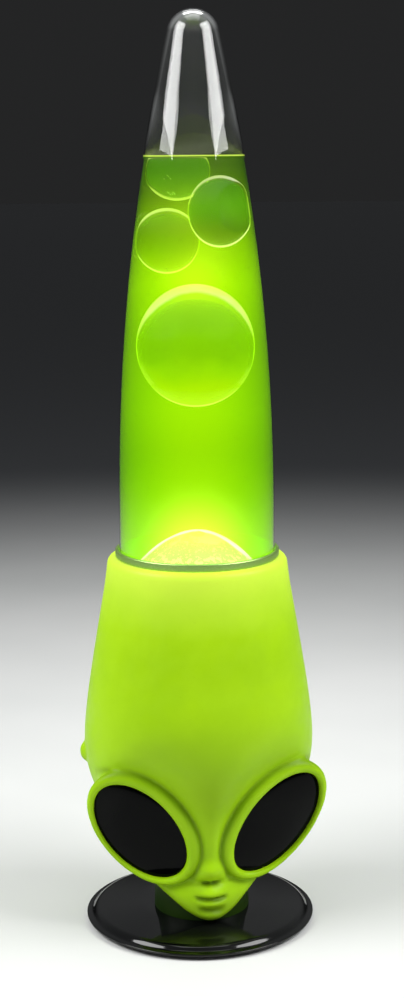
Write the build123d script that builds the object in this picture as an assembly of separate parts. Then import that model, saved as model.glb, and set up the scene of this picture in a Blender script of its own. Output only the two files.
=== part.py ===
"""A desk lava lamp: a bullet-shaped glass bottle of liquid and wax, standing in a hollow alien head.

The head stands on a short neck and a round pressed-steel foot, and hides the bulb that lights and warms
the bottle from below. Millimetres, +Z up, origin on the table at the centre of the foot, face towards -Y.
"""

from build123d import *
from math import cos, hypot, radians, sin, sqrt
import os

# ---- Driving dimensions ---------------------------------------------------------------------------
TOTAL_HEIGHT = 432.0
RUNNING = 0.3                  # gap between pieces that slide past each other
FIT = 0.1                      # gap around pieces that are pushed or dropped into place

# Foot
FOOT_RADIUS = 55.5
FOOT_SHEET = 1.4
FOOT_LIFT = 1.5                # height of the rim above the table, on its pads
RIM_HEIGHT = 2.0
RIM_WIDTH = 2.9
SHOULDER_RADIUS, SHOULDER_Z = 51.0, 5.5
CROWN_RADIUS, CROWN_Z = 28.5, 8.1
PAD_RADIUS, PAD_CIRCLE = 5.0, 44.0
PAD_ANGLES = (45, 135, 225, 315)
PAD_SINK = 0.5                 # how deep a pad is let into the cover
COVER_THICKNESS = 1.2
COVER_SCREW_ANGLES, COVER_SCREW_RADIUS = (60, 180, 300), 1.3
STUD_CIRCLE, STUD_RADIUS = 37.0, 3.4

# Neck
NECK_Y = -5.0
NECK_RADIUS_LOW, NECK_RADIUS_HIGH, NECK_BORE = 23.0, 21.5, 14.0
NECK_TOP = 52.0
NECK_SCREW_CIRCLE, NECK_SCREW_RADIUS, NECK_SCREW_TOP = 17.8, 1.5, 45.0
NECK_SCREW_ANGLES = (30, 150, 270)
GLAND_Z, GLAND_RADIUS, GLAND_BORE, GLAND_FLANGE = 21.0, 5.0, 3.2, 7.4

# Head: height, half width, widest line's y, reach forward of it, reach behind it
HEAD_LEVELS = [
    (11.0, 5.0, -30.5, 4.5, 4.5),
    (16.0, 14.5, -28.0, 8.0, 9.0),
    (24.0, 24.5, -22.0, 14.5, 14.5),
    (35.0, 32.5, -16.0, 21.0, 22.5),
    (48.0, 40.0, -9.0, 31.0, 33.5),
    (62.0, 47.5, -3.5, 41.5, 45.0),
    (78.0, 53.5, -0.5, 51.0, 53.0),
    (92.0, 55.0, 0.0, 56.0, 56.0),
    (110.0, 53.5, 0.0, 54.8, 55.0),
    (130.0, 50.5, 0.0, 51.3, 51.8),
    (150.0, 47.1, 0.0, 47.5, 47.8),
    (168.0, 44.0, 0.0, 44.1, 44.2),
    (181.0, 42.3, 0.0, 42.3, 42.3),
]
HEAD_TOP = HEAD_LEVELS[-1][0]
# Heights between which the skin runs straight
HEAD_SLICES = (11.0, 13.5, 16.0, 20.0, 24.0, 29.0, 35.0, 41.0, 48.0, 55.0, 62.0, 70.0, 78.0, 85.0, 92.0,
               101.0, 110.0, 120.0, 130.0, 140.0, 150.0, 159.0, 168.0, HEAD_TOP)
HEAD_WALL = 3.0
HEAD_FLOOR_Z, HEAD_CEILING_Z = 48.0, 177.5

# Eyes: an oval tilted outwards, on a plane that looks a little outwards and down
EYE_CENTRE = (32.8, -28.0, 55.0)
EYE_YAW, EYE_PITCH, EYE_TILT = 13.3, -10.0, 54.0
EYE_LONG, EYE_SHORT = 28.4, 16.7
EYE_LIP, EYE_LIP_SHIFT, EYE_LIP_ROUND = 4.6, 1.7, 2.2
EYE_POD_DEPTH, EYE_POCKET, EYE_DOME = 20.0, 2.4, 3.4
EYE_REACH = 25.0               # how far in front of its plane the face is cut clear for an eye
EAR_CENTRE, EAR_SIZE = (-1.0, 54.0, 85.0), (4.0, 2.6, 4.6)

# Bottle
BOTTLE_RADIUS = 36.8
SEAT_Z = 166.0                 # the bottle's lowest rim
STRAIGHT_TOP = 205.0           # the wall is upright up to here and then curves in
SIDE_ARC = 967.0
GLASS = 2.0
FLOOR_THICKNESS, PUNT_DEPTH, PUNT_RADIUS = 4.0, 2.5, 28.0
BOTTLE_HEEL = 3.0
LIQUID_LEVEL = 366.7
BUNG_RADIUS, BUNG_HEAD_RADIUS, BUNG_HEAD = 8.0, 11.0, 2.0
BOTTLE_LIFT = 80.0

# Wax and the wire coil that lies round it
MOUND_RADIUS, MOUND_HEIGHT = 26.0, 21.0
COIL_RADIUS, COIL_THICKNESS = 29.6, 4.4
# name: sideways, towards the viewer, height, radius across, half height
BLOBS = {
    "wax_blob_large": (0.0, 0.0, 280.0, 28.4, 28.8),
    "wax_blob_left": (-12.0, -5.5, 328.5, 12.5, 15.0),
    "wax_blob_right": (10.2, 5.2, 342.5, 12.3, 15.6),
    "wax_blob_surface": (-9.6, -2.6, 360.5, 10.9, 14.0),
}
BLOB_TURN = -9.5               # the blobs are placed on lines turned by this angle about the axis

# Cup that the bottle stands in
CUP_SHEET = 0.6
CUP_BORE = BOTTLE_RADIUS + RUNNING
CUP_RIM_RADIUS, CUP_RIM_HEIGHT = 38.8, 3.5
CUP_FLOOR = 0.8
CUP_OPENING = 29.0
GASKET = 2.0
CUP_FIXING_CIRCLE = 33.0
CUP_SCREWS = (90, 210, 330)    # angles of the three screws that hold the cup down
BRACKET_RIVETS = (0, 180)

# Lamp holder and its bracket
BRACKET_SHEET, BRACKET_WIDTH, BRACKET_LEG_X = 1.0, 14.0, 27.0
HOLDER_RADIUS, HOLDER_BORE = 12.5, 9.1
HOLDER_BOTTOM, HOLDER_FLOOR, HOLDER_TOP = 74.0, 80.0, 104.0
HOLDER_FLANGE_RADIUS = 16.0
BAR_TOP = 90.0
TERMINAL_X = 6.0

# Bulb, a small reflector lamp with a 17 mm screw cap
BULB_BASE, BULB_TOP = 84.0, 150.0
CAP_ROOT, CAP_CREST, CAP_SHEET, THREAD_PITCH = 7.5, 8.2, 0.4, 2.82
BULB_REFLECTOR_RADIUS = 19.5
BULB_GLASS = 0.8
BULB_CAP_HEIGHT = 24.0         # height of the cap's mouth above the bulb's tip
CONTACT_HEIGHT, INSULATOR_TOP = 1.2, 4.2

# ---- Derived heights ------------------------------------------------------------------------------
CUP_FLOOR_TOP = SEAT_Z - GASKET
CUP_FLOOR_Z = CUP_FLOOR_TOP - CUP_FLOOR
CUP_RIM_TOP = HEAD_TOP + CUP_RIM_HEIGHT
RIM_TOP = FOOT_LIFT + RIM_HEIGHT
PUNT_Z = SEAT_Z + PUNT_DEPTH
LIQUID_FLOOR = PUNT_Z + FLOOR_THICKNESS
BULB_MOUTH = BULB_BASE + BULB_CAP_HEIGHT - 9.0
BULB_NECK = CAP_ROOT - CAP_SHEET - FIT
STEM_TOP = BULB_MOUTH + 22.0


# ---- Helpers --------------------------------------------------------------------------------------
def tube(outer, inner, low, high, x=0.0, y=0.0):
    """An upright ring, or a plain cylinder where inner is zero."""
    body = Cylinder(outer, high - low, align=(Align.CENTER, Align.CENTER, Align.MIN))
    if inner:
        body -= Cylinder(inner, high - low, align=(Align.CENTER, Align.CENTER, Align.MIN))
    return Pos(x, y, low) * body


def turned(outline):
    """The solid swept by a closed outline of (radius, height) edges about the lamp's axis."""
    return revolve(Plane.XZ * make_face(outline), Axis.Z)


def turned_points(points):
    """The same, from corners joined by straight lines."""
    return turned(Polyline(*points, close=True))


def around(circle, angles, centre_y=0.0):
    """Places on a circle, at angles in degrees from +X."""
    return [(circle * cos(radians(a)), centre_y + circle * sin(radians(a))) for a in angles]


def ellipsoid(half_x, half_y, half_z):
    return scale(Sphere(1.0), by=(half_x, half_y, half_z))


def screw(x, y, head_low, head_high, tip, shank_radius, head_radius):
    """A pan-headed screw: a head between two heights, and a shank that ends at tip."""
    shank_start = head_high if tip > head_high else head_low
    shank = tube(shank_radius, 0, min(shank_start, tip), max(shank_start, tip), x, y)
    return tube(head_radius, 0, head_low, head_high, x, y) + shank


# ---- Bottle outline -------------------------------------------------------------------------------
def tip_radius():
    """Radius of the sphere that closes the bottle, tangent to the side's arc and as high as the lamp."""
    rise = TOTAL_HEIGHT - STRAIGHT_TOP
    flat = BOTTLE_RADIUS * BOTTLE_RADIUS - 2 * BOTTLE_RADIUS * SIDE_ARC + rise * rise
    return flat / (2 * (rise - SIDE_ARC))


def side_radius(z, inset=0.0):
    """The bottle's radius at a height, inset into the wall, below its closing tip."""
    if z <= STRAIGHT_TOP:
        return BOTTLE_RADIUS - inset
    arc = SIDE_ARC - inset
    return BOTTLE_RADIUS - SIDE_ARC + sqrt(arc * arc - (z - STRAIGHT_TOP) ** 2)


def bottle_body(inset, bottom_points, start_z):
    """A solid bounded by the bottle's side and tip, inset into the wall, over a bottom of straight lines."""
    centre_r, tip = BOTTLE_RADIUS - SIDE_ARC, tip_radius()
    tip_z = TOTAL_HEIGHT - tip
    reach = hypot(centre_r, tip_z - STRAIGHT_TOP)
    out_r, up = -centre_r / reach, (tip_z - STRAIGHT_TOP) / reach
    side, cap = SIDE_ARC - inset, tip - inset
    join = (centre_r + side * out_r, STRAIGHT_TOP + side * up)
    half_way = STRAIGHT_TOP + (join[1] - STRAIGHT_TOP) / 2
    slant = hypot(cap * out_r, cap * (1 + up))
    cap_middle = (cap * cap * out_r / slant, tip_z + cap * cap * (1 + up) / slant)
    straight_top = (BOTTLE_RADIUS - inset, STRAIGHT_TOP)
    outline = (
        Polyline(*bottom_points, (BOTTLE_RADIUS - inset, start_z), straight_top)
        + ThreePointArc(straight_top, (side_radius(half_way, inset), half_way), join)
        + ThreePointArc(join, cap_middle, (0, TOTAL_HEIGHT - inset))
        + Line((0, TOTAL_HEIGHT - inset), bottom_points[0])
    )
    return turned(outline)


def bottle_inside():
    """The room inside the bottle."""
    low = LIQUID_FLOOR - 2.5
    wall = BOTTLE_RADIUS - GLASS
    floor = [(0, LIQUID_FLOOR), (BUNG_RADIUS + 2.0, LIQUID_FLOOR), (wall - BOTTLE_HEEL, low)]
    return bottle_body(GLASS, floor, low + BOTTLE_HEEL)


# ---- Foot and neck --------------------------------------------------------------------------------
def foot():
    """Pressed steel disc with a hemmed rim, a rounded shoulder and a flat crown under the neck."""
    inner_rim = FOOT_RADIUS - RIM_WIDTH
    skin = [
        (0, CROWN_Z), (CROWN_RADIUS, CROWN_Z), (SHOULDER_RADIUS, SHOULDER_Z), (inner_rim + 0.7, RIM_TOP),
        (FOOT_RADIUS, RIM_TOP), (FOOT_RADIUS, FOOT_LIFT), (inner_rim, FOOT_LIFT),
        (inner_rim, FOOT_LIFT + COVER_THICKNESS + 0.2),
        (inner_rim - 1.8, SHOULDER_Z - FOOT_SHEET - 0.2), (CROWN_RADIUS, CROWN_Z - FOOT_SHEET),
        (0, CROWN_Z - FOOT_SHEET),
    ]
    disc = turned_points(skin)
    rim_edges = disc.edges().filter_by(GeomType.CIRCLE).filter_by(
        lambda e: abs(e.radius - FOOT_RADIUS) < 0.01)
    disc = fillet(rim_edges, 0.9)
    shoulder = disc.edges().filter_by(GeomType.CIRCLE).filter_by(
        lambda e: abs(e.radius - SHOULDER_RADIUS) < 0.01)
    disc = fillet(shoulder, 2.0)
    disc -= tube(NECK_BORE - 4.0, 0, 0, CROWN_Z + 1, 0, NECK_Y)
    for x, y in around(NECK_SCREW_CIRCLE, NECK_SCREW_ANGLES, NECK_Y):
        disc -= tube(NECK_SCREW_RADIUS + FIT, 0, 0, CROWN_Z + 1, x, y)
    stud_low, stud_high = FOOT_LIFT + COVER_THICKNESS, CROWN_Z - FOOT_SHEET - 0.3
    for x, y in around(STUD_CIRCLE, COVER_SCREW_ANGLES):
        disc += tube(STUD_RADIUS, 0, stud_low, stud_high, x, y)
        disc -= tube(COVER_SCREW_RADIUS + FIT, 0, stud_low - 1, stud_high - 1.2, x, y)
    return disc


def underside_cover():
    """Plastic plate that closes the foot from below."""
    plate = tube(FOOT_RADIUS - RIM_WIDTH - RUNNING, 0, FOOT_LIFT, FOOT_LIFT + COVER_THICKNESS)
    for x, y in around(STUD_CIRCLE, COVER_SCREW_ANGLES):
        plate -= tube(COVER_SCREW_RADIUS + FIT, 0, 0, CROWN_Z, x, y)
    for x, y in around(PAD_CIRCLE, PAD_ANGLES):
        plate -= tube(PAD_RADIUS, 0, 0, FOOT_LIFT + PAD_SINK, x, y)
    return plate


def pads():
    """Rubber pads that the lamp stands on."""
    pad = tube(PAD_RADIUS, 0, 0, FOOT_LIFT + PAD_SINK)
    pad = chamfer(pad.edges().group_by(Axis.Z)[0], 0.3)
    return Compound(children=[
        Pos(x, y, 0) * pad for x, y in around(PAD_CIRCLE, PAD_ANGLES)])


def cover_screws():
    tip = CROWN_Z - FOOT_SHEET - 1.8
    return Compound(children=[
        screw(x, y, FOOT_LIFT - 1.0, FOOT_LIFT, tip, COVER_SCREW_RADIUS, 2.7)
        for x, y in around(STUD_CIRCLE, COVER_SCREW_ANGLES)])


def neck(head_skin):
    """Hollow stub between foot and head, its top shaped to the head's underside."""
    blank = Pos(0, NECK_Y, CROWN_Z) * Cone(
        NECK_RADIUS_LOW, NECK_RADIUS_HIGH, NECK_TOP - CROWN_Z,
        align=(Align.CENTER, Align.CENTER, Align.MIN))
    blank -= tube(NECK_BORE, 0, CROWN_Z, NECK_TOP, 0, NECK_Y)
    blank -= head_skin
    for x, y in around(NECK_SCREW_CIRCLE, NECK_SCREW_ANGLES, NECK_Y):
        blank -= tube(NECK_SCREW_RADIUS + FIT, 0, CROWN_Z - 1, NECK_TOP, x, y)
    hole = Pos(0, NECK_Y, GLAND_Z) * Rot(-90, 0, 0) * Cylinder(
        GLAND_RADIUS + FIT, NECK_RADIUS_LOW * 2, align=(Align.CENTER, Align.CENTER, Align.MIN))
    blank -= hole
    return max(blank.solids(), key=lambda s: s.volume)


def neck_screws():
    """Long screws that hold foot, neck and head together."""
    head_low = CROWN_Z - FOOT_SHEET - 2.0
    return Compound(children=[
        screw(x, y, head_low, head_low + 2.0, NECK_SCREW_TOP, NECK_SCREW_RADIUS, 3.0)
        for x, y in around(NECK_SCREW_CIRCLE, NECK_SCREW_ANGLES, NECK_Y)])


def cord_gland():
    """Rubber bush that lines the cord's hole at the back of the neck."""
    start, wall_back = NECK_Y + NECK_BORE, NECK_Y + NECK_RADIUS_LOW
    body = Cylinder(GLAND_RADIUS, wall_back + 1.0 - start, align=(Align.CENTER, Align.CENTER, Align.MIN))
    body += Pos(0, 0, wall_back + 1.0 - start) * Cylinder(
        GLAND_FLANGE, 2.6, align=(Align.CENTER, Align.CENTER, Align.MIN))
    body = fillet(body.edges().group_by(Axis.Z)[-1], 1.0)
    body -= Cylinder(GLAND_BORE, 100)
    return Pos(0, start, GLAND_Z) * Rot(-90, 0, 0) * body


# ---- Head -----------------------------------------------------------------------------------------
def head_section(level, inset=0.0):
    """One level of the head: two half ellipses that share their widest line."""
    z, half_width, widest_y, forward, behind = level
    middle, across = (0, widest_y), half_width - inset
    front = EllipticalCenterArc(middle, across, forward - inset, start_angle=180, arc_size=180)
    back = EllipticalCenterArc(middle, across, behind - inset, start_angle=0, arc_size=180)
    return Pos(0, 0, z) * make_face(front + back)


def level_slopes(index):
    """How fast each measure of the head changes with height at one of its levels."""
    low, high = HEAD_LEVELS[max(index - 1, 0)], HEAD_LEVELS[min(index + 1, len(HEAD_LEVELS) - 1)]
    return [(b - a) / (high[0] - low[0]) for a, b in zip(low, high)]


def between_levels(z):
    """The head's level at a height, on a smooth curve through the levels given."""
    for index, (low, high) in enumerate(zip(HEAD_LEVELS, HEAD_LEVELS[1:])):
        if low[0] <= z <= high[0]:
            rise = high[0] - low[0]
            t = (z - low[0]) / rise
            slopes = zip(low, high, level_slopes(index), level_slopes(index + 1))
            return tuple(
                a * (1 + 2 * t) * (1 - t) ** 2 + b * t * t * (3 - 2 * t)
                + slope_a * rise * t * (1 - t) ** 2 + slope_b * rise * t * t * (t - 1)
                for a, b, slope_a, slope_b in slopes)
    raise ValueError("height outside the head")


def head_skin():
    return loft([head_section(between_levels(z)) for z in HEAD_SLICES], ruled=True)


def head_cavity():
    """The room inside the head, a wall's thickness in from its skin and from the eye pockets."""
    inner = [z for z in HEAD_SLICES if HEAD_FLOOR_Z + 2 < z < HEAD_CEILING_Z - 2]
    heights = [HEAD_FLOOR_Z, *inner, HEAD_CEILING_Z]
    room = loft([head_section(between_levels(z), HEAD_WALL) for z in heights], ruled=True)
    for side in (-1, 1):
        room -= eye_plane(side) * eye_backing()
    return room


def eye_plane(side):
    """The plane of one eye's lip: x along the oval's long axis, z out of the face."""
    yaw, pitch, tilt = radians(EYE_YAW), radians(EYE_PITCH), radians(EYE_TILT)
    out = Vector(side * sin(yaw) * cos(pitch), -cos(yaw) * cos(pitch), sin(pitch))
    sideways = Vector(side * cos(yaw), sin(yaw), 0)
    up = Vector(-side * sin(yaw) * sin(pitch), cos(yaw) * sin(pitch), cos(pitch))
    x, y, z = EYE_CENTRE
    return Plane(origin=(side * x, y, z), x_dir=sideways * cos(tilt) + up * sin(tilt), z_dir=out)


def eye_pod(side):
    """The raised lip and tapering socket round an eye, widest towards the brow, in the eye's plane."""
    front = Pos(0, side * EYE_LIP_SHIFT) * Ellipse(EYE_LONG + EYE_LIP, EYE_SHORT + EYE_LIP)
    back = Pos(0, 0, -EYE_POD_DEPTH) * Ellipse(EYE_LONG - 6.0, EYE_SHORT - 3.0)
    pod = loft([back, front])
    return fillet(pod.edges().group_by(Axis.Z)[-1], EYE_LIP_ROUND)


def eye_backing():
    """What the cavity leaves standing behind and round an eye pocket."""
    oval = Ellipse(EYE_LONG + HEAD_WALL, EYE_SHORT + HEAD_WALL)
    depth = EYE_POCKET + HEAD_WALL
    return Pos(0, 0, -depth) * extrude(oval, depth + EYE_REACH)


def eye_pocket():
    return Pos(0, 0, -EYE_POCKET) * extrude(Ellipse(EYE_LONG, EYE_SHORT), EYE_POCKET + EYE_REACH)


def eye(side):
    """Glossy domed insert that fills one eye pocket."""
    long, short = EYE_LONG - FIT, EYE_SHORT - FIT
    plate = Pos(0, 0, -EYE_POCKET + FIT) * extrude(Ellipse(long, short), EYE_POCKET - 0.8)
    dome = ellipsoid(long, short, EYE_DOME) - Pos(0, 0, -50) * Box(100, 100, 100)
    return eye_plane(side) * (plate + Pos(0, 0, -0.8 + FIT) * dome)


def head_shell(skin):
    """Moulded head, hollow for the bulb, with lipped eye pockets, ears, nose and mouth."""
    head = skin
    for side in (-1, 1):
        head += eye_plane(side) * eye_pod(side)
        ear_y, ear_x, ear_z = EAR_CENTRE
        head += Pos(side * ear_x, ear_y, ear_z) * ellipsoid(*EAR_SIZE)
    head += Pos(0, -36.5, 39.0) * Rot(8, 0, 0) * ellipsoid(5.0, 4.5, 13.0)
    head += Pos(0, -35.5, 20.0) * ellipsoid(8.0, 3.0, 2.6)
    head -= head_cavity()
    head -= tube(CUP_BORE + CUP_SHEET + RUNNING, 0, HEAD_CEILING_Z - 1, HEAD_TOP + 1)
    head -= tube(NECK_BORE, 0, 0, HEAD_FLOOR_Z + 1, 0, NECK_Y)
    for side in (-1, 1):
        head -= eye_plane(side) * eye_pocket()
    for x, y in around(NECK_SCREW_CIRCLE, NECK_SCREW_ANGLES, NECK_Y):
        head -= tube(NECK_SCREW_RADIUS, 0, 0, NECK_SCREW_TOP, x, y)
    boss_low = CUP_FLOOR_Z - 14.0
    for angle in CUP_SCREWS:
        boss = Pos(CUP_FIXING_CIRCLE, 0, boss_low) * Cylinder(
            3.4, CUP_FLOOR_Z - boss_low, align=(Align.CENTER, Align.CENTER, Align.MIN))
        rib = Pos(CUP_FIXING_CIRCLE, 0, boss_low) * Box(
            side_wall_reach(), 3.0, CUP_FLOOR_Z - boss_low - 0.5,
            align=(Align.MIN, Align.CENTER, Align.MIN))
        post = (boss + rib) - Pos(CUP_FIXING_CIRCLE, 0, CUP_FLOOR_Z - 9.0) * Cylinder(
            1.25, 20, align=(Align.CENTER, Align.CENTER, Align.MIN))
        head += Rot(0, 0, angle) * post
    return head


def side_wall_reach():
    """How far a cup boss's rib runs out to end inside the head's wall."""
    return between_levels(CUP_FLOOR_Z)[1] - HEAD_WALL / 2 - CUP_FIXING_CIRCLE


# ---- Cup and gasket -------------------------------------------------------------------------------
def bottle_cup():
    """Spun aluminium cup with a rolled rim, open in the middle for the light."""
    outer = CUP_BORE + CUP_SHEET
    cup = tube(outer, CUP_BORE, CUP_FLOOR_Z, HEAD_TOP + 1)
    cup += tube(CUP_BORE + 0.1, CUP_OPENING, CUP_FLOOR_Z, CUP_FLOOR_TOP)
    rim = tube(CUP_RIM_RADIUS, CUP_BORE, HEAD_TOP, CUP_RIM_TOP)
    rim = fillet(rim.edges().filter_by(GeomType.CIRCLE).group_by(Axis.Z)[-1], 0.6)
    cup += rim
    for x, y in around(CUP_FIXING_CIRCLE, CUP_SCREWS + BRACKET_RIVETS):
        cup -= tube(1.6, 0, CUP_FLOOR_Z - 1, CUP_FLOOR_TOP + 1, x, y)
    return cup


def seat_gasket():
    """Silicone ring under the bottle, pierced over the screw and rivet heads."""
    ring = tube(CUP_BORE - 0.6, CUP_OPENING + 0.5, CUP_FLOOR_TOP, SEAT_Z)
    for x, y in around(CUP_FIXING_CIRCLE, CUP_SCREWS + BRACKET_RIVETS):
        ring -= tube(3.1, 0, CUP_FLOOR_TOP - 1, SEAT_Z + 1, x, y)
    return ring


def cup_screws():
    return Compound(children=[
        screw(x, y, CUP_FLOOR_TOP, CUP_FLOOR_TOP + 1.4, CUP_FLOOR_Z - 8.0, 1.25, 2.8)
        for x, y in around(CUP_FIXING_CIRCLE, CUP_SCREWS)])


# ---- Lamp holder ----------------------------------------------------------------------------------
def socket_bracket():
    """Steel strap bent into a U, hung from the cup's floor, with the holder in its cross bar."""
    ear = Pos(BRACKET_LEG_X, 0, CUP_FLOOR_Z - BRACKET_SHEET) * Box(
        10.0, BRACKET_WIDTH, BRACKET_SHEET, align=(Align.MIN, Align.CENTER, Align.MIN))
    leg = Pos(BRACKET_LEG_X, 0, BAR_TOP - BRACKET_SHEET) * Box(
        BRACKET_SHEET, BRACKET_WIDTH, CUP_FLOOR_Z - BAR_TOP + BRACKET_SHEET,
        align=(Align.MIN, Align.CENTER, Align.MIN))
    ear -= tube(1.6, 0, 0, 200, CUP_FIXING_CIRCLE, 0)
    arm = ear + leg
    strap = arm + mirror(arm, Plane.YZ)
    strap += Pos(0, 0, BAR_TOP - BRACKET_SHEET) * Box(
        2 * BRACKET_LEG_X + 0.5, BRACKET_WIDTH, BRACKET_SHEET, align=(Align.CENTER, Align.CENTER, Align.MIN))
    strap += tube(HOLDER_FLANGE_RADIUS + 1.0, 0, BAR_TOP - BRACKET_SHEET, BAR_TOP)
    strap -= tube(HOLDER_RADIUS + FIT, 0, 0, 200)
    return strap


def bracket_rivets():
    return Compound(children=[
        screw(x, y, CUP_FLOOR_TOP, CUP_FLOOR_TOP + 1.2, CUP_FLOOR_Z - BRACKET_SHEET, 1.6, 2.8)
        + tube(2.6, 0, CUP_FLOOR_Z - BRACKET_SHEET - 1.0, CUP_FLOOR_Z - BRACKET_SHEET, x, y)
        for x, y in around(CUP_FIXING_CIRCLE, BRACKET_RIVETS)])


def lamp_holder():
    """Moulded body of the screw lamp holder."""
    body = tube(HOLDER_RADIUS, 0, HOLDER_BOTTOM, HOLDER_TOP)
    body += tube(HOLDER_FLANGE_RADIUS, 0, BAR_TOP, BAR_TOP + 2.0)
    body -= tube(HOLDER_BORE, 0, HOLDER_FLOOR, HOLDER_TOP + 1)
    for side in (-1, 1):
        body -= tube(1.6, 0, 0, HOLDER_FLOOR, side * TERMINAL_X, 0)
    return body


def holder_ring_nut():
    """Ring that clamps the holder to the bracket's bar from below, knurled by flats."""
    nut = extrude(RegularPolygon(HOLDER_FLANGE_RADIUS, 16), 4.0)
    nut -= Cylinder(HOLDER_RADIUS + FIT, 20)
    return Pos(0, 0, BAR_TOP - BRACKET_SHEET - 4.0) * nut


def holder_shell():
    """Brass sleeve that the bulb's cap screws into."""
    return tube(HOLDER_BORE - FIT / 2, CAP_CREST + 0.2, HOLDER_FLOOR + 6.0, HOLDER_TOP - 0.5)


def holder_contact():
    """Sprung brass leaf under the bulb's tip."""
    base = Pos(0, 0, HOLDER_FLOOR) * Box(12.0, 4.0, 0.5, align=(Align.CENTER, Align.CENTER, Align.MIN))
    rise = BULB_BASE - HOLDER_FLOOR - 0.8
    run = 5.0
    leaf = Plane.XZ * make_face(Polyline(
        (-run, 0.4), (-run + 0.6, 0.4), (0.6, rise), (2.5, rise), (2.5, rise + 0.5), (0.2, rise + 0.5),
        close=True))
    leaf = extrude(leaf, 2.0, both=True)
    contact = base + Pos(0, 0, HOLDER_FLOOR) * leaf
    for side in (-1, 1):
        contact -= tube(1.2, 0, 0, 200, side * TERMINAL_X, 0)
    return contact


def terminal_screws():
    return Compound(children=[
        screw(side * TERMINAL_X, 0, HOLDER_BOTTOM - 1.6, HOLDER_BOTTOM, HOLDER_FLOOR - 0.5, 1.4, 2.6)
        for side in (-1, 1)])


# ---- Bulb -----------------------------------------------------------------------------------------
def bulb_contact():
    """Solder button at the bulb's tip."""
    button = tube(2.6, 0, BULB_BASE, BULB_BASE + CONTACT_HEIGHT)
    return fillet(button.edges().group_by(Axis.Z)[0], 0.8)


def bulb_insulator():
    """Glass plug between the tip and the screw cap."""
    low = BULB_BASE + CONTACT_HEIGHT
    high = BULB_BASE + INSULATOR_TOP
    return turned_points([(0, low), (2.8, low), (CAP_ROOT - CAP_SHEET, high), (0, high)])


def bulb_cap():
    """Brass screw cap, rolled from sheet, with a round-crested thread."""
    low, high = BULB_BASE + INSULATOR_TOP, BULB_BASE + BULB_CAP_HEIGHT
    sleeve = tube(CAP_ROOT, 0, low, high)
    ridge_radius = (CAP_CREST - CAP_ROOT) * 1.15
    turns = Helix(THREAD_PITCH, THREAD_PITCH * 4.5, CAP_CREST - ridge_radius)
    profile = Plane(origin=turns @ 0, z_dir=turns % 0) * Circle(ridge_radius)
    sleeve += Pos(0, 0, low + 1.6) * sweep(profile, turns)
    return sleeve - tube(CAP_ROOT - CAP_SHEET, 0, low - 1, high + 1)


def bulb_outline(inset):
    """One face of the envelope's wall, from its mouth up the flared cone to the middle of its dome."""
    throat, face = BULB_BASE + 27.0, BULB_TOP - 7.5
    neck_radius, widest = BULB_NECK - inset, BULB_REFLECTOR_RADIUS - inset
    crown, sag = BULB_TOP - inset, BULB_TOP - inset - face
    ball = (widest ** 2 + sag ** 2) / (2 * sag)
    middle = (widest / 2, crown - ball + sqrt(ball ** 2 - widest ** 2 / 4))
    outline = Line((neck_radius, BULB_MOUTH), (neck_radius, throat))
    outline += Spline((neck_radius, throat), (widest, face), tangents=((0, 1), (0.25, 1)))
    return outline + ThreePointArc((widest, face), middle, (0, crown))


def bulb_glass():
    """Blown reflector envelope: a narrow neck, a flared cone and a shallow domed face."""
    ends = Line((0, BULB_TOP), (0, BULB_TOP - BULB_GLASS))
    ends += Line((BULB_NECK, BULB_MOUTH), (BULB_NECK - BULB_GLASS, BULB_MOUTH))
    return turned(bulb_outline(0) + bulb_outline(BULB_GLASS) + ends)


def bulb_stem():
    """Glass stem, sealed across the envelope's mouth, that carries the filament's leads."""
    low, flare = BULB_MOUTH, BULB_NECK - BULB_GLASS
    return turned_points([
        (0, low), (flare, low), (flare, low + 1.0), (2.0, low + 8.0), (2.0, STEM_TOP), (0, STEM_TOP)])


def bulb_filament():
    """Tungsten coil held between two lead wires."""
    lead, span, high = 0.35, 7.0, STEM_TOP + 10.0
    wires = []
    for side in (-1, 1):
        path = Polyline((side * 1.0, 0, STEM_TOP - 1), (side * span, 0, high))
        profile = Plane(origin=path @ 0, z_dir=path % 0) * Circle(lead)
        wires.append(sweep(profile, path))
    arc = ThreePointArc((-span, 0, high), (0, 0, high - 2.0), (span, 0, high))
    wires.append(sweep(Plane(origin=arc @ 0, z_dir=arc % 0) * Circle(0.6), arc))
    return wires[0] + wires[1] + wires[2] - tube(5, 0, BULB_MOUTH, STEM_TOP)


# ---- Bottle and what is in it ---------------------------------------------------------------------
def bottle_glass():
    """Blown bottle, closed at its rounded tip, with a raised floor and a filling hole in it."""
    foot_ring = [(PUNT_RADIUS + 1.5, SEAT_Z), (BOTTLE_RADIUS - BOTTLE_HEEL, SEAT_Z)]
    bottom = [(0, PUNT_Z), (PUNT_RADIUS, PUNT_Z)] + foot_ring
    glass = bottle_body(0.0, bottom, SEAT_Z + BOTTLE_HEEL)
    glass -= bottle_inside()
    return glass - tube(BUNG_RADIUS, 0, SEAT_Z - 1, LIQUID_FLOOR + 1)


def filler_bung():
    """Rubber plug in the filling hole."""
    plug = tube(BUNG_RADIUS, 0, PUNT_Z - 0.1, LIQUID_FLOOR)
    return plug + tube(BUNG_HEAD_RADIUS, 0, PUNT_Z - BUNG_HEAD, PUNT_Z)


def wax_mound():
    """Wax settled on the floor, in a low dome."""
    rise = MOUND_HEIGHT
    ball = (MOUND_RADIUS ** 2 + rise ** 2) / (2 * rise)
    dome = Pos(0, 0, LIQUID_FLOOR - 1.6 + rise - ball) * Sphere(ball)
    dome &= bottle_inside()
    return dome - tube(60, 0, LIQUID_FLOOR + 60, 600)


def wire_coil():
    """Envelope of the ring of coiled wire that lies round the mound."""
    low = LIQUID_FLOOR - 2.0
    return Pos(0, 0, low + COIL_THICKNESS / 2) * Torus(COIL_RADIUS, COIL_THICKNESS / 2)


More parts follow.
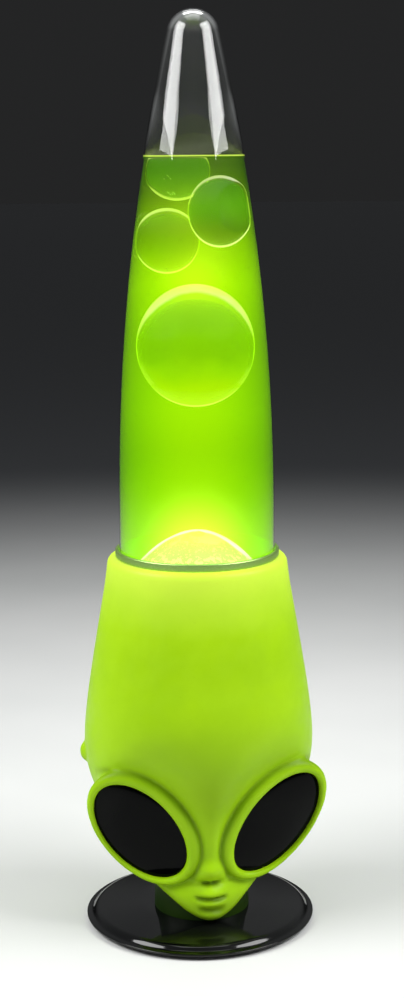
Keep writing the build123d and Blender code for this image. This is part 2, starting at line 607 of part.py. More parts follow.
def blob(name, grow=0.0):
    """A blob of wax, longer than it is wide where the values say so, cut off below the liquid's surface."""
    sideways, towards, z, radius, half_height = BLOBS[name]
    turn = radians(BLOB_TURN)
    x = sideways * cos(turn) + towards * sin(turn)
    y = sideways * sin(turn) - towards * cos(turn)
    outline = EllipticalCenterArc((0, 0), radius + grow, half_height + grow, start_angle=-90, arc_size=180)
    outline += Line((0, half_height + grow), (0, -half_height - grow))
    body = Pos(x, y, z) * turned(outline)
    limit = LIQUID_LEVEL - 2 * RUNNING + grow
    return body - tube(60, 0, limit, limit + 60)


def liquid():
    """The liquid, hollowed for everything that is in it."""
    body = bottle_inside() - tube(60, 0, LIQUID_LEVEL, TOTAL_HEIGHT + 10)
    body -= wax_mound()
    body -= wire_coil()
    for name in BLOBS:
        body -= blob(name, RUNNING)
    return max(body.solids(), key=lambda s: s.volume)


# ---- Everything, by the name of its node ----------------------------------------------------------
def main():
    os.makedirs("parts", exist_ok=True)
    skin = head_skin()
    parts = {
        "foot_disc": foot(),
        "underside_cover": underside_cover(),
        "rubber_pads": pads(),
        "cover_screws": cover_screws(),
        "neck": neck(skin),
        "neck_screws": neck_screws(),
        "cord_gland": cord_gland(),
        "head_shell": head_shell(skin),
        "left_eye": eye(-1),
        "right_eye": eye(1),
        "bottle_cup": bottle_cup(),
        "seat_gasket": seat_gasket(),
        "cup_screws": cup_screws(),
        "socket_bracket": socket_bracket(),
        "bracket_rivets": bracket_rivets(),
        "lamp_holder": lamp_holder(),
        "holder_ring_nut": holder_ring_nut(),
        "holder_screw_shell": holder_shell(),
        "holder_contact": holder_contact(),
        "terminal_screws": terminal_screws(),
        "bulb_contact": bulb_contact(),
        "bulb_insulator": bulb_insulator(),
        "bulb_cap": bulb_cap(),
        "bulb_glass": bulb_glass(),
        "bulb_stem": bulb_stem(),
        "bulb_filament": bulb_filament(),
        "bottle_glass": bottle_glass(),
        "filler_bung": filler_bung(),
        "wax_mound": wax_mound(),
        "wire_coil": wire_coil(),
        "liquid": liquid(),
    }
    for name in BLOBS:
        parts[name] = blob(name)
    for name, shape in parts.items():
        export_step(shape, f"parts/{name}.step")


main()
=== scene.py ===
"""Looks of the alien-head lava lamp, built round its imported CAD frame. Metres, in the CAD's frame."""
from math import cos, pi, radians, sin, sqrt

import bmesh
import bpy
import numpy as np
from mathutils import Matrix, Vector


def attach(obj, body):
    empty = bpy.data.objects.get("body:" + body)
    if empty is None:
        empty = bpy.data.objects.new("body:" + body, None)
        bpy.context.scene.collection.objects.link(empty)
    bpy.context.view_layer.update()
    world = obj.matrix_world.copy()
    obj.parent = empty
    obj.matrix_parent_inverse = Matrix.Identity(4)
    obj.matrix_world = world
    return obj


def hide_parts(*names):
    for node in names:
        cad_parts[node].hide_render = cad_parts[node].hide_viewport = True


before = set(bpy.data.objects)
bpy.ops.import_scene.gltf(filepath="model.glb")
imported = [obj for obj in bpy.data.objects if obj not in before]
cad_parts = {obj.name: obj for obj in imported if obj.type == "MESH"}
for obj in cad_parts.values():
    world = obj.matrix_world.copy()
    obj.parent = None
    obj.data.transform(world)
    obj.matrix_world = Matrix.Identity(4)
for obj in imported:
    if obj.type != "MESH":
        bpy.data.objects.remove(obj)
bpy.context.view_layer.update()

MM = 0.001
FACE_TURN = radians(9.5)          # the face looks this far to the viewer's right

# ---- Sizes in millimetres, as in the CAD ---------------------------------------------------------
HEIGHT, BOTTLE_R, STRAIGHT_TOP, SIDE_ARC, GLASS = 432.0, 36.8, 205.0, 967.0, 2.0
SEAT_Z, LIQUID_FLOOR, LIQUID_LEVEL = 166.0, 172.5, 366.7
WET_WALL = 0.5                    # the wall drawn round the liquid, whose refraction fills the bottle
HEAD_TOP, HEAD_WALL, CUP_BORE = 181.0, 3.0, 37.1
EYE_CENTRE, EYE_LONG, EYE_SHORT = (32.8, -28.0, 55.0), 28.4, 16.7
EYE_YAW, EYE_PITCH, EYE_TILT = radians(13.3), radians(-10.0), radians(54.0)
EYE_INSET = 0.8                   # how far an insert's edge is let into the wall of its socket
FLOOR_TOP = 171.6                 # where the mound's skirt meets the bottle's floor
MOUND_R, MOUND_H, FILM = 31.0, 20.6, 0.45
WALL_BLEND = 30.0                 # height above the liquid over which the wall reaches its full thickness

# ---- Camera and lights, in metres and degrees ----------------------------------------------------
CAMERA_DISTANCE, CAMERA_HEIGHT, CAMERA_LENS = 0.842, 0.3667, 65.47
CAMERA_DOWN, CAMERA_ASIDE, CAMERA_ROLL = 10.7, 0.17, -0.44
SOFTBOX_ANGLE, SOFTBOX_REACH, SOFTBOX_HEIGHT = 70, 0.85, 0.97


# ---- Node helpers --------------------------------------------------------------------------------
class Shader:
    """One procedural material: a Principled shader and the nodes that feed it."""

    def __init__(self, name, **values):
        self.material = bpy.data.materials.new(name)
        self.material.use_nodes = True
        self.tree = self.material.node_tree
        self.bsdf = self.tree.nodes["Principled BSDF"]
        self.output = self.tree.nodes["Material Output"]
        self.coords = self.node("ShaderNodeTexCoord").outputs["Object"]
        for key, value in values.items():
            self.bsdf.inputs[key.replace("_", " ")].default_value = value

    def node(self, kind, inputs=None, **settings):
        made = self.tree.nodes.new(kind)
        for key, value in settings.items():
            setattr(made, key, value)
        for key, value in (inputs or {}).items():
            self.plug(value, made.inputs[key])
        return made

    def plug(self, value, socket):
        if isinstance(value, bpy.types.NodeSocket):
            self.tree.links.new(value, socket)
        else:
            socket.default_value = value

    def mapped(self, scale):
        return self.node("ShaderNodeMapping", {"Vector": self.coords, "Scale": scale}).outputs[0]

    def noise(self, scale, detail=3.0, rough=0.55, vector=None, distortion=0.0):
        return self.node("ShaderNodeTexNoise", {
            "Vector": vector or self.coords, "Scale": scale, "Detail": detail, "Roughness": rough,
            "Distortion": distortion}).outputs["Fac"]

    def ramp(self, value, stops, interpolation="LINEAR"):
        made = self.node("ShaderNodeValToRGB", {"Fac": value})
        made.color_ramp.interpolation = interpolation
        elements = made.color_ramp.elements
        while len(elements) < len(stops):
            elements.new(0.5)
        for element, (place, colour) in zip(elements, stops):
            element.position = place
            element.color = (*colour, 1.0)
        return made.outputs["Color"]

    def between(self, value, low, high, to_low=0.0, to_high=1.0):
        return self.node("ShaderNodeMapRange", {
            "Value": value, "From Min": low, "From Max": high, "To Min": to_low, "To Max": to_high,
        }, interpolation_type="SMOOTHSTEP").outputs["Result"]

    def axis(self, name):
        return self.node("ShaderNodeSeparateXYZ", {"Vector": self.coords}).outputs[name]

    def mix(self, factor, a, b, blend="MIX"):
        made = self.node("ShaderNodeMix", data_type="RGBA", blend_type=blend)
        self.plug(factor, made.inputs["Factor"])
        self.plug(a if isinstance(a, bpy.types.NodeSocket) else (*a, 1.0), made.inputs["A"])
        self.plug(b if isinstance(b, bpy.types.NodeSocket) else (*b, 1.0), made.inputs["B"])
        return made.outputs["Result"]

    def maths(self, operation, a, b=0.0):
        made = self.node("ShaderNodeMath", operation=operation)
        self.plug(a, made.inputs[0])
        self.plug(b, made.inputs[1])
        return made.outputs[0]

    def bump(self, height, strength, distance):
        made = self.node("ShaderNodeBump", {
            "Height": height, "Strength": strength, "Distance": distance})
        self.tree.links.new(made.outputs["Normal"], self.bsdf.inputs["Normal"])

    def feed(self, **sockets):
        for key, value in sockets.items():
            self.plug(value, self.bsdf.inputs[key.replace("_", " ")])

    def volume(self, shader):
        self.tree.links.new(shader.outputs[0], self.output.inputs["Volume"])


# ---- Mesh helpers --------------------------------------------------------------------------------
def piece(name, verts_mm, faces, shader, body, replaces=()):
    """A smooth mesh piece from corners in millimetres, riding on a CAD body."""
    mesh = bpy.data.meshes.new(name)
    mesh.from_pydata((np.asarray(verts_mm, float) * MM).tolist(), [], [list(map(int, f)) for f in faces])
    mesh.validate()
    mesh.polygons.foreach_set("use_smooth", [True] * len(mesh.polygons))
    mesh.materials.append(shader.material)
    made = bpy.data.objects.new(name, mesh)
    bpy.context.scene.collection.objects.link(made)
    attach(made, body)
    if replaces:
        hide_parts(*replaces)
    return made


def lathe(profile, segments=160, centre=(0.0, 0.0)):
    """Corners and faces of a profile of (radius, height) turned about an upright axis."""
    ring_starts, verts, faces = [], [], []
    for r, z in profile:
        ring_starts.append((len(verts), r < 1e-6))
        if r < 1e-6:
            verts.append((centre[0], centre[1], z))
            continue
        for i in range(segments):
            a = 2 * pi * i / segments
            verts.append((centre[0] + r * cos(a), centre[1] + r * sin(a), z))
    for (s0, tip0), (s1, tip1) in zip(ring_starts, ring_starts[1:]):
        for i in range(segments):
            j = (i + 1) % segments
            if tip0 and tip1:
                continue
            if tip0:
                faces.append((s0, s1 + j, s1 + i))
            elif tip1:
                faces.append((s0 + i, s0 + j, s1))
            else:
                faces.append((s0 + i, s0 + j, s1 + j, s1 + i))
    return verts, faces


def tip_fan(spokes):
    """Faces from corner 0 to the first ring round it."""
    return [(0, 1 + j, 1 + (j + 1) % spokes) for j in range(spokes)]


def ring_bands(rings, spokes):
    """Faces between rings that follow each other, the first of them starting at corner 1."""
    faces = []
    for i in range(rings):
        a, b = 1 + i * spokes, 1 + (i + 1) * spokes
        for j in range(spokes):
            k = (j + 1) % spokes
            faces.append((a + j, b + j, b + k, a + k))
    return faces


def end_fan(last, tip, spokes):
    """Faces from the last ring, which starts at a corner, to the tip beyond it."""
    return [(last + j, tip, last + (j + 1) % spokes) for j in range(spokes)]


def rounded(points, radii, steps=6):
    """A profile with each inner corner replaced by an arc-like curve of about the given radius."""
    out = [points[0]]
    for before, here, after, radius in zip(points, points[1:], points[2:], radii):
        if radius <= 0:
            out.append(here)
            continue
        p, q, r = (np.array(v, float) for v in (before, here, after))
        back, ahead = p - q, r - q
        cut = min(radius, np.linalg.norm(back) * 0.49, np.linalg.norm(ahead) * 0.49)
        start = q + back / np.linalg.norm(back) * cut
        end = q + ahead / np.linalg.norm(ahead) * cut
        for k in range(steps + 1):
            t = k / steps
            out.append(tuple((1 - t) ** 2 * start + 2 * t * (1 - t) * q + t * t * end))
    out.append(points[-1])
    return out


def recalculate(made):
    """Makes every face of a closed piece look outwards."""
    work = bmesh.new()
    work.from_mesh(made.data)
    bmesh.ops.remove_doubles(work, verts=work.verts, dist=1e-6)
    bmesh.ops.recalc_face_normals(work, faces=work.faces)
    work.to_mesh(made.data)
    work.free()


# ---- Implicit shapes -----------------------------------------------------------------------------
def smooth_min(a, b, k):
    h = np.maximum(k - np.abs(a - b), 0.0) / k
    return np.minimum(a, b) - h * h * k * 0.25


def smooth_max(a, b, k):
    return -smooth_min(-a, -b, k)


def ellipse_distance(u, v, a, b):
    """Roughly how far a point of a plane lies outside an ellipse; negative inside it."""
    k0 = np.sqrt((u / a) ** 2 + (v / b) ** 2)
    k1 = np.sqrt((u / a ** 2) ** 2 + (v / b ** 2) ** 2) + 1e-9
    return k0 * (k0 - 1.0) / k1


def ellipsoid_distance(x, y, z, a, b, c):
    k0 = np.sqrt((x / a) ** 2 + (y / b) ** 2 + (z / c) ** 2)
    k1 = np.sqrt((x / a ** 2) ** 2 + (y / b ** 2) ** 2 + (z / c ** 2) ** 2) + 1e-9
    return k0 * (k0 - 1.0) / k1


def grid_lines(*spans):
    """Grid lines over spans of (start, end, step)."""
    parts = [np.linspace(a, b, max(1, round((b - a) / step)), endpoint=False) for a, b, step in spans]
    return np.concatenate(parts + [[spans[-1][1]]])


def surface_nets(field, axes, step):
    """Corners and faces of the surface where field is zero, pulled on to it exactly."""
    counts = [len(lines) for lines in axes]
    gx, gy, gz = np.meshgrid(*axes, indexing="ij")
    values = field(gx.ravel(), gy.ravel(), gz.ravel()).reshape(counts)
    inside = values < 0
    total = np.zeros([n - 1 for n in counts] + [3])
    hits = np.zeros([n - 1 for n in counts])
    grid = np.stack([gx, gy, gz], -1)
    for axis in range(3):
        a = [slice(None)] * 3
        b = [slice(None)] * 3
        a[axis], b[axis] = slice(0, -1), slice(1, None)
        a, b = tuple(a), tuple(b)
        crossing = inside[a] != inside[b]
        va, vb = values[a], values[b]
        t = np.where(crossing, va / np.where(crossing, va - vb, 1.0), 0.0)
        point = (grid[a] + t[..., None] * (grid[b] - grid[a])) * crossing[..., None]
        others = [k for k in range(3) if k != axis]
        for d0 in (0, 1):
            for d1 in (0, 1):
                src = [slice(None)] * 3
                dst = [slice(None)] * 3
                for k, d in zip(others, (d0, d1)):
                    n = counts[k]
                    src[k] = slice(d, n - 1 + d)
                src[axis] = slice(0, counts[axis] - 1)
                total[tuple(dst)] += point[tuple(src)]
                hits[tuple(dst)] += crossing[tuple(src)]
    used = hits > 0
    index = np.full(hits.shape, -1, int)
    index[used] = np.arange(used.sum())
    verts = total[used] / hits[used][:, None]
    faces = []
    for axis in range(3):
        u, v = [k for k in range(3) if k != axis]
        a = [slice(None)] * 3
        b = [slice(None)] * 3
        a[axis], b[axis] = slice(0, -1), slice(1, None)
        crossing = inside[tuple(a)] != inside[tuple(b)]
        where = np.argwhere(crossing)
        where = where[(where[:, u] > 0) & (where[:, v] > 0)
                      & (where[:, u] < counts[u] - 1) & (where[:, v] < counts[v] - 1)]
        corner = []
        for du, dv in ((1, 1), (0, 1), (0, 0), (1, 0)):
            c = where.copy()
            c[:, u] -= du
            c[:, v] -= dv
            corner.append(index[c[:, 0], c[:, 1], c[:, 2]])
        quad = np.stack(corner, -1)
        flip = inside[where[:, 0], where[:, 1], where[:, 2]] ^ (axis == 1)
        quad[flip] = quad[flip][:, ::-1]
        faces.append(quad)
    faces = np.concatenate(faces)
    for _ in range(4):
        e = step * 0.25
        f = field(*verts.T)
        slope = np.stack([
            field(verts[:, 0] + e * (k == 0), verts[:, 1] + e * (k == 1), verts[:, 2] + e * (k == 2)) - f
            for k in range(3)], -1) / e
        size = (slope ** 2).sum(1) + 1e-6
        move = -f[:, None] * slope / size[:, None]
        length = np.linalg.norm(move, axis=1, keepdims=True)
        verts += move * np.minimum(1.0, step * 0.5 / (length + 1e-9))
    return verts, faces


# ---- The head ------------------------------------------------------------------------------------
# height, half width, front, widest line, back
HEAD_LEVELS = np.array([
    (8.0, 3.0, -34.0, -30.5, -27.5),
    (11.0, 6.5, -35.0, -30.0, -25.0),
    (16.0, 14.2, -36.0, -27.5, -19.5),
    (24.0, 23.2, -36.6, -22.0, -8.0),
    (35.0, 31.5, -36.4, -16.0, 6.5),
    (48.0, 40.0, -37.2, -9.0, 24.0),
    (62.0, 47.5, -41.0, -3.5, 41.5),
    (78.0, 53.5, -47.6, -0.5, 52.5),
    (92.0, 55.0, -53.0, 0.0, 56.0),
    (110.0, 53.5, -54.6, 0.0, 55.0),
    (130.0, 50.5, -51.3, 0.0, 51.8),
    (150.0, 47.1, -47.5, 0.0, 47.8),
    (168.0, 44.0, -44.1, 0.0, 44.2),
    (181.0, 42.3, -42.3, 0.0, 42.3),
    (188.0, 41.4, -41.4, 0.0, 41.4),
])


def level_values(z):
    """The head's half width, front, widest line and back at each height, smoothly interpolated."""
    heights, table = HEAD_LEVELS[:, 0], HEAD_LEVELS[:, 1:]
    here = np.arange(len(heights))
    low, high = np.maximum(here - 1, 0), np.minimum(here + 1, len(heights) - 1)
    slopes = (table[high] - table[low]) / (heights[high] - heights[low])[:, None]
    z = np.clip(z, heights[0], heights[-1])
    i = np.clip(np.searchsorted(heights, z) - 1, 0, len(heights) - 2)
    gap = (heights[i + 1] - heights[i])[:, None]
    t = ((z - heights[i])[:, None]) / gap
    return (table[i] * (1 + 2 * t) * (1 - t) ** 2 + slopes[i] * gap * t * (1 - t) ** 2
            + table[i + 1] * t * t * (3 - 2 * t) + slopes[i + 1] * gap * t * t * (t - 1)).T


def egg(x, y, z):
    """The head without its features: half ellipses in front of and behind its widest line."""
    half, front, middle, back = level_values(z)
    reach = np.where(y < middle, middle - front, back - middle)
    k0 = np.sqrt((x / half) ** 2 + ((y - middle) / reach) ** 2)
    k1 = np.sqrt((x / half ** 2) ** 2 + ((y - middle) / reach ** 2) ** 2) + 1e-9
    return k0 * (k0 - 1.0) / k1


def eye_axes():
    """The eye's long axis, short axis and outward normal on the +X side."""
    out = np.array((sin(EYE_YAW) * cos(EYE_PITCH), -cos(EYE_YAW) * cos(EYE_PITCH), sin(EYE_PITCH)))
    sideways = np.array((cos(EYE_YAW), sin(EYE_YAW), 0.0))
    up = np.array((-sin(EYE_YAW) * sin(EYE_PITCH), cos(EYE_YAW) * sin(EYE_PITCH), cos(EYE_PITCH)))
    long = sideways * cos(EYE_TILT) + up * sin(EYE_TILT)
    return long, np.cross(out, long), out


def eye_coordinates(x, y, z, soft=0.0):
    """Place along an eye's long and short axes and out of its plane, on either side of the face."""
    long, short, out = eye_axes()
    p = np.stack([np.sqrt(x * x + soft * soft) - EYE_CENTRE[0], y - EYE_CENTRE[1], z - EYE_CENTRE[2]], -1)
    return p @ long, p @ short, p @ out


def bell(value, width):
    return np.exp(-(value / width) ** 2)


def face_relief(x, y, z):
    """How far the face is pressed in, or out where negative, by nose, nostrils, lips and chin."""
    mouth = 20.9 + 0.008 * x * x
    across = np.exp(-(x / 6.8) ** 4)
    relief = 1.25 * bell(z - mouth, 0.95) * np.exp(-(x / 7.2) ** 6)
    relief -= 0.7 * bell(z - mouth + 2.2, 1.5) * across
    relief -= 0.65 * bell(z - mouth - 2.5, 1.8) * across
    relief += 1.5 * bell(z - mouth + 5.4, 1.6) * np.exp(-(x / 6.0) ** 4)
    relief += 1.4 * bell(np.abs(x) - 2.0, 2.6) * bell(z - 28.6, 1.4)
    relief += 1.3 * bell(x, 7.5) * bell(z - 28.2, 1.8)
    relief -= 2.5 * np.exp(-(x / 8.0) ** 4) * bell(z - 34.8, 4.8)
    relief -= 1.2 * bell(x, 5.0) * bell(z - 46.0, 9.0)
    relief -= 0.8 * bell(x, 8.0) * bell(z - 13.5, 3.0)
    return relief * (y < -15)


def rim_roll(u, v):
    """The rolled rim's radius round an eye: thick towards the brow and nose, thin on the outside."""
    return 2.4 + 1.3 * np.cos(np.arctan2(v / EYE_SHORT, u / EYE_LONG) - radians(88))


def head_outside(x, y, z):
    head = smooth_max(egg(x, y, z), 9.8 - z, 5.0)
    u, v, w = eye_coordinates(x, y, z)
    depth = np.clip(-w / 24.0, 0.0, 1.3)
    pod = ellipse_distance(u + 3.0 * depth, v - 0.9 - 2.0 * depth, EYE_LONG + 2.6 - 9.0 * depth,
                           EYE_SHORT + 2.3 - 5.0 * depth)
    pod = smooth_max(pod, w + 0.8, 2.5)
    pod = smooth_max(pod, -w - 26.0, 4.0)
    head = smooth_min(head, pod, 9.0)
    us, vs, ws = eye_coordinates(x, y, z, soft=2.5)
    slope = np.maximum(ellipse_distance(us, vs, EYE_LONG, EYE_SHORT) - 2.0 * rim_roll(us, vs) + 1.0, 0.0)
    head = smooth_max(head, 0.8 * (ws + 1.5 - 0.62 * slope), 6.0)
    head += face_relief(x, y, z)
    outside_eye, roll = ellipse_distance(u, v, EYE_LONG, EYE_SHORT), rim_roll(u, v)
    rim = np.hypot(outside_eye - roll, w - (1.1 - 0.6 * roll)) - roll
    outer_end = bell(np.degrees(np.arctan2(v / EYE_SHORT, u / EYE_LONG)) + 5.0, 48.0)
    head = smooth_min(head, rim, roll * (0.35 + 0.9 * outer_end))
    # A collar behind the rim closes the socket's side, where the pod is cut back on the rim's thin side
    collar = smooth_max(np.abs(outside_eye - 0.7) - 1.2, np.abs(w + 2.4) - 2.6, 0.8)
    head = smooth_min(head, collar, 1.0)
    socket = smooth_max(outside_eye - 0.15, -(w + 3.0), 0.8)
    head = smooth_max(head, -socket, 0.5)
    ear = ellipsoid_distance(np.abs(x) - 53.6, y - 6.0, z - 85.0, 3.4, 4.2, 4.8)
    head = smooth_min(head, ear, 1.6)
    return smooth_max(head, z - HEAD_TOP, 3.4)


def crease_shade(x, y, z):
    """Painted shade where less light from inside would reach: the creases beside the rims, the lips and
    nostrils, the forehead between the eyes and the chin.
    """
    u, v, w = eye_coordinates(x, y, z)
    beside = ellipse_distance(u, v, EYE_LONG, EYE_SHORT) - 2.0 * rim_roll(u, v)
    inner = np.clip((v / EYE_SHORT + 0.55) / 0.9, 0.0, 1.0) * (w > -14.0)
    shade = 0.7 * bell(beside + 0.1, 1.35) * inner
    shade += 0.30 * bell(x, 15.0) * bell(z - 75.0, 14.0) * (y < 0)
    mouth = 20.9 + 0.008 * x * x
    front = y < -25
    shade += 1.3 * bell(z - mouth, 1.2) * np.exp(-(x / 7.4) ** 6) * front
    shade += 0.5 * bell(z - mouth + 5.4, 1.8) * np.exp(-(x / 6.0) ** 4) * front
    shade += 1.2 * bell(np.abs(x) - 1.8, 2.7) * bell(z - 28.4, 1.5) * front
    shade += 0.8 * np.clip((23.0 - z) / 12.0, 0.0, 1.0) * (y < -15)
    return np.clip(shade, 0.0, 1.0)


def head_field(x, y, z):
    """The whole moulded head: its outside, less the room inside it and the bores in its ends."""
    u, v, w = eye_coordinates(x, y, z)
    outside = head_outside(x, y, z)
    room = smooth_max(egg(x, y, z) + HEAD_WALL, 48.0 - z, 3.0)
    room = smooth_max(room, outside + HEAD_WALL, 2.0)
    room = np.maximum(room, z - 177.5)
    backing = np.maximum(ellipse_distance(u, v, EYE_LONG, EYE_SHORT) - 6.0, -(w + 6.5))
    room = smooth_max(room, -backing, 2.0)
    mouth = np.maximum(np.hypot(x, y) - (CUP_BORE + 0.9), 170.0 - z)
    neck = np.maximum(np.hypot(x, y + 5.0) - 14.0, z - 60.0)
    hollow = np.minimum(np.minimum(room, mouth), neck)
    return smooth_max(outside, -hollow, 0.6)


def make_head(shader):
    scale = 1.0
    mid, fine, tall = 1.15 * scale, 0.76 * scale, 2.4 * scale
    axes = (grid_lines((-62.0, -11.0, mid), (-11.0, 10.5, fine), (10.5, 62.0, mid)),
            grid_lines((-60.0, -44.0, mid), (-44.0, -30.0, fine), (-30.0, 60.0, mid)),
            grid_lines((8.0, 42.0, fine), (42.0, 92.0, mid), (92.0, 170.0, tall), (170.0, 184.0, mid)))
    verts, faces = surface_nets(head_field, axes, mid)
    made = piece("head_moulding", verts, faces, shader, "base", ["head_shell"])
    # Painted shade for the head's material, stored on its corners
    shade = made.data.attributes.new("crease_painted_shade", "FLOAT", "POINT")
    shade.data.foreach_set("value", crease_shade(*verts.T).astype(np.float32))


def make_eye(side, shader):
    """A glossy domed insert, slightly sunk behind its rolled rim."""
    long, short, out = eye_axes()
    rings, spokes = 26, 128
    verts = []
    # From the middle out to the edge, then the edge again lower down, and the middle of the underside
    levels = [1 - (1 - k / rings) ** 1.5 for k in range(rings + 1)] + [1.0, 0.0]
    for level, share in enumerate(levels):
        for i in range(spokes if share else 1):
            a = 2 * pi * i / spokes
            brow = max(0.0, (long * cos(a) + short * sin(a))[2])
            height = -0.9 + 2.2 * (1 - share ** 2.2) - 1.2 * brow * share ** 9
            if level > rings:
                height = -2.8
            u, v = share * (EYE_LONG + EYE_INSET) * cos(a), share * (EYE_SHORT + EYE_INSET) * sin(a)
            p = np.array(EYE_CENTRE) + long * u + short * v + out * height
            verts.append((side * p[0], p[1], p[2]))
    last = 1 + rings * spokes
    faces = tip_fan(spokes) + ring_bands(rings, spokes) + end_fan(last, len(verts) - 1, spokes)
    name = "right" if side > 0 else "left"
    recalculate(piece(f"{name}_eye_gloss", verts, faces, shader, "base", [f"{name}_eye"]))


# ---- The bottle ----------------------------------------------------------------------------------
def bottle_profile(inset, start_z, steps=90):
    """Side and tip of the bottle, from a height up to the middle of its tip, inset into the wall."""
    rise = HEIGHT - STRAIGHT_TOP
    tip = (BOTTLE_R ** 2 - 2 * BOTTLE_R * SIDE_ARC + rise * rise) / (2 * (rise - SIDE_ARC))
    centre_r, tip_z = BOTTLE_R - SIDE_ARC, HEIGHT - tip
    join = np.arctan2(tip_z - STRAIGHT_TOP, -centre_r)
    points = [(BOTTLE_R - inset, start_z + lift) for lift in (0.0, 0.3, 1.0, 4.0, 12.0)]
    for a in np.linspace(0.0, join, steps):
        points.append((centre_r + (SIDE_ARC - inset) * cos(a), STRAIGHT_TOP + (SIDE_ARC - inset) * sin(a)))
    for a in np.linspace(join, pi / 2, 24)[1:-1]:
        points.append(((tip - inset) * cos(a), tip_z + (tip - inset) * sin(a)))
    points.append((0.0, HEIGHT - inset))
    return points


def wall_radius(z, inset):
    """The bottle's radius at a height, inset into the wall."""
    if z <= STRAIGHT_TOP:
        return BOTTLE_R - inset
    return BOTTLE_R - SIDE_ARC + sqrt((SIDE_ARC - inset) ** 2 - (z - STRAIGHT_TOP) ** 2)


def make_bottle(shader):
    outer = rounded([(9.0, 168.5), (28.0, 168.5), (29.5, SEAT_Z), (33.8, SEAT_Z), (BOTTLE_R, 169.5)],
                    (2.0, 1.0, 3.0))
    outer += bottle_profile(0.0, 172.0)
    inner = []
    thin, thick = bottle_profile(WET_WALL, 175.0), bottle_profile(GLASS, 175.0)
    for (thin_r, thin_z), (thick_r, thick_z) in zip(thin, thick):
        share = min(1.0, max(0.0, (thin_z - LIQUID_LEVEL - 0.5) / WALL_BLEND))
        share = share * share * (3 - 2 * share)
        inner.append((thin_r + (thick_r - thin_r) * share, thin_z + (thick_z - thin_z) * share))
    inner.reverse()
    inner += [(35.0, 171.6), (32.6, 169.9), (28.0, 171.0), (10.0, LIQUID_FLOOR), (8.0, LIQUID_FLOOR),
              (8.0, 168.5), (9.0, 168.5)]
    verts, faces = lathe(outer + inner, 192)
    recalculate(piece("bottle_blown", verts, faces, shader, "bottle", ["bottle_glass"]))


def make_liquid(shader):
    """The liquid's outside, with a small meniscus where it meets the glass."""
    gap = 0.04
    side = [(r - gap, z) for r, z in bottle_profile(WET_WALL, 176.0) if z < LIQUID_LEVEL - 1.0]
    rim = wall_radius(LIQUID_LEVEL, WET_WALL) - gap
    bottom = [(0.0, LIQUID_FLOOR + gap), (10.0, LIQUID_FLOOR + gap), (28.0, 171.1), (32.4, 170.1),
              (34.8, 172.0)]
    top = [(rim, LIQUID_LEVEL + 0.5), (rim - 0.25, LIQUID_LEVEL + 0.2), (rim - 0.6, LIQUID_LEVEL + 0.05),
           (rim - 1.0, LIQUID_LEVEL), (rim - 1.3, LIQUID_LEVEL), (rim * 0.5, LIQUID_LEVEL),
           (0.0, LIQUID_LEVEL)]
    verts, faces = lathe(bottom + side + top, 160)
    recalculate(piece("liquid_fill", verts, faces, shader, "bottle", ["liquid"]))


def wavy_ball(centre, radii, wobble, seed, gap, rise, rings=56, spokes=88, cut=None):
    """A ball of wax with slow bulges, clear of the wall over its rise, and cut flat where a cut is given."""
    rng = np.random.default_rng(seed)
    waves = [(rng.normal(size=3), rng.uniform(0, 2 * pi), rng.uniform(1.2, 2.6)) for _ in range(5)]
    verts = []
    for i in range(rings + 1):
        t = pi * i / rings
        for j in range(spokes if 0 < i < rings else 1):
            p = 2 * pi * j / spokes
            d = np.array((sin(t) * cos(p), sin(t) * sin(p), cos(t)))
            swell = 1 + wobble * sum(sin(f * (d @ k) + s) for k, s, f in waves) / 5
            q = np.array(centre) + d * np.array(radii) * swell
            if cut is not None:
                q[2] = min(q[2], cut)
            room, reach = wall_radius(q[2] + rise, WET_WALL + gap), np.hypot(q[0], q[1])
            q[:2] *= min(1.0, room / max(reach, 1e-6))
            verts.append(q)
    last = 1 + (rings - 2) * spokes
    return np.array(verts), (tip_fan(spokes) + ring_bands(rings - 2, spokes)
                             + end_fan(last, len(verts) - 1, spokes))


def turned_to_viewer(sideways, towards, z):
    """A place given sideways and towards the camera's side of the lamp, in the CAD's frame."""
    a = -FACE_TURN
    return (sideways * cos(a) + towards * sin(a), sideways * sin(a) - towards * cos(a), z)


# body, rise, (sideways, towards the viewer, height), (radius, half height), cut,
# and the heart's gaps at its side, top and bottom. The balls are drawn at their magnified size, and
# stand a little apart from their CAD solids so that they clear each other.
BLOBS = {
    "wax_blob_large": ("wax_large", 2.0, (0.0, 0.0, 280.0), (27.6, 28.4), None, (0.7, 7.0, 0.8)),
    "wax_blob_left": ("wax_left", 2.5, (-12.9, -8.0, 328.1), (15.3, 15.1), None, (0.6, 2.6, 0.9)),
    "wax_blob_right": ("wax_right", 4.0, (11.7, 9.0, 341.9), (14.7, 16.2), None, (0.6, 1.8, 0.9)),
    "wax_blob_surface": ("wax_surface", 0.4, (-7.8, -9.5, 360.0), (15.3, 13.6), LIQUID_LEVEL - 0.6,
                         (0.6, 0.4, 1.2)),
}


def make_blobs(skin, core):
    """Each ball of wax is a skin of painted glow round a darker heart, which sits low and leaves a painted
    crescent of light.
    """
    for seed, (node, (body, rise, place, (radius, half), cut, gaps)) in enumerate(BLOBS.items()):
        verts, faces = wavy_ball(turned_to_viewer(*place), (radius, radius, half), 0.012, seed, 0.5, rise,
                                 cut=cut)
        recalculate(piece(node + "_skin", verts, faces, skin, body, [node]))
        side, top, bottom = gaps
        heart = (place[0], place[1], place[2] + (bottom - top) / 2)
        sizes = (radius - side, radius - side, half - (top + bottom) / 2)
        heart_cut = cut and cut - 0.5
        verts, faces = wavy_ball(turned_to_viewer(*heart), sizes, 0.012, seed, 0.5 + side, rise,
                                 cut=heart_cut)
        recalculate(piece(node + "_heart", verts, faces, core, body))


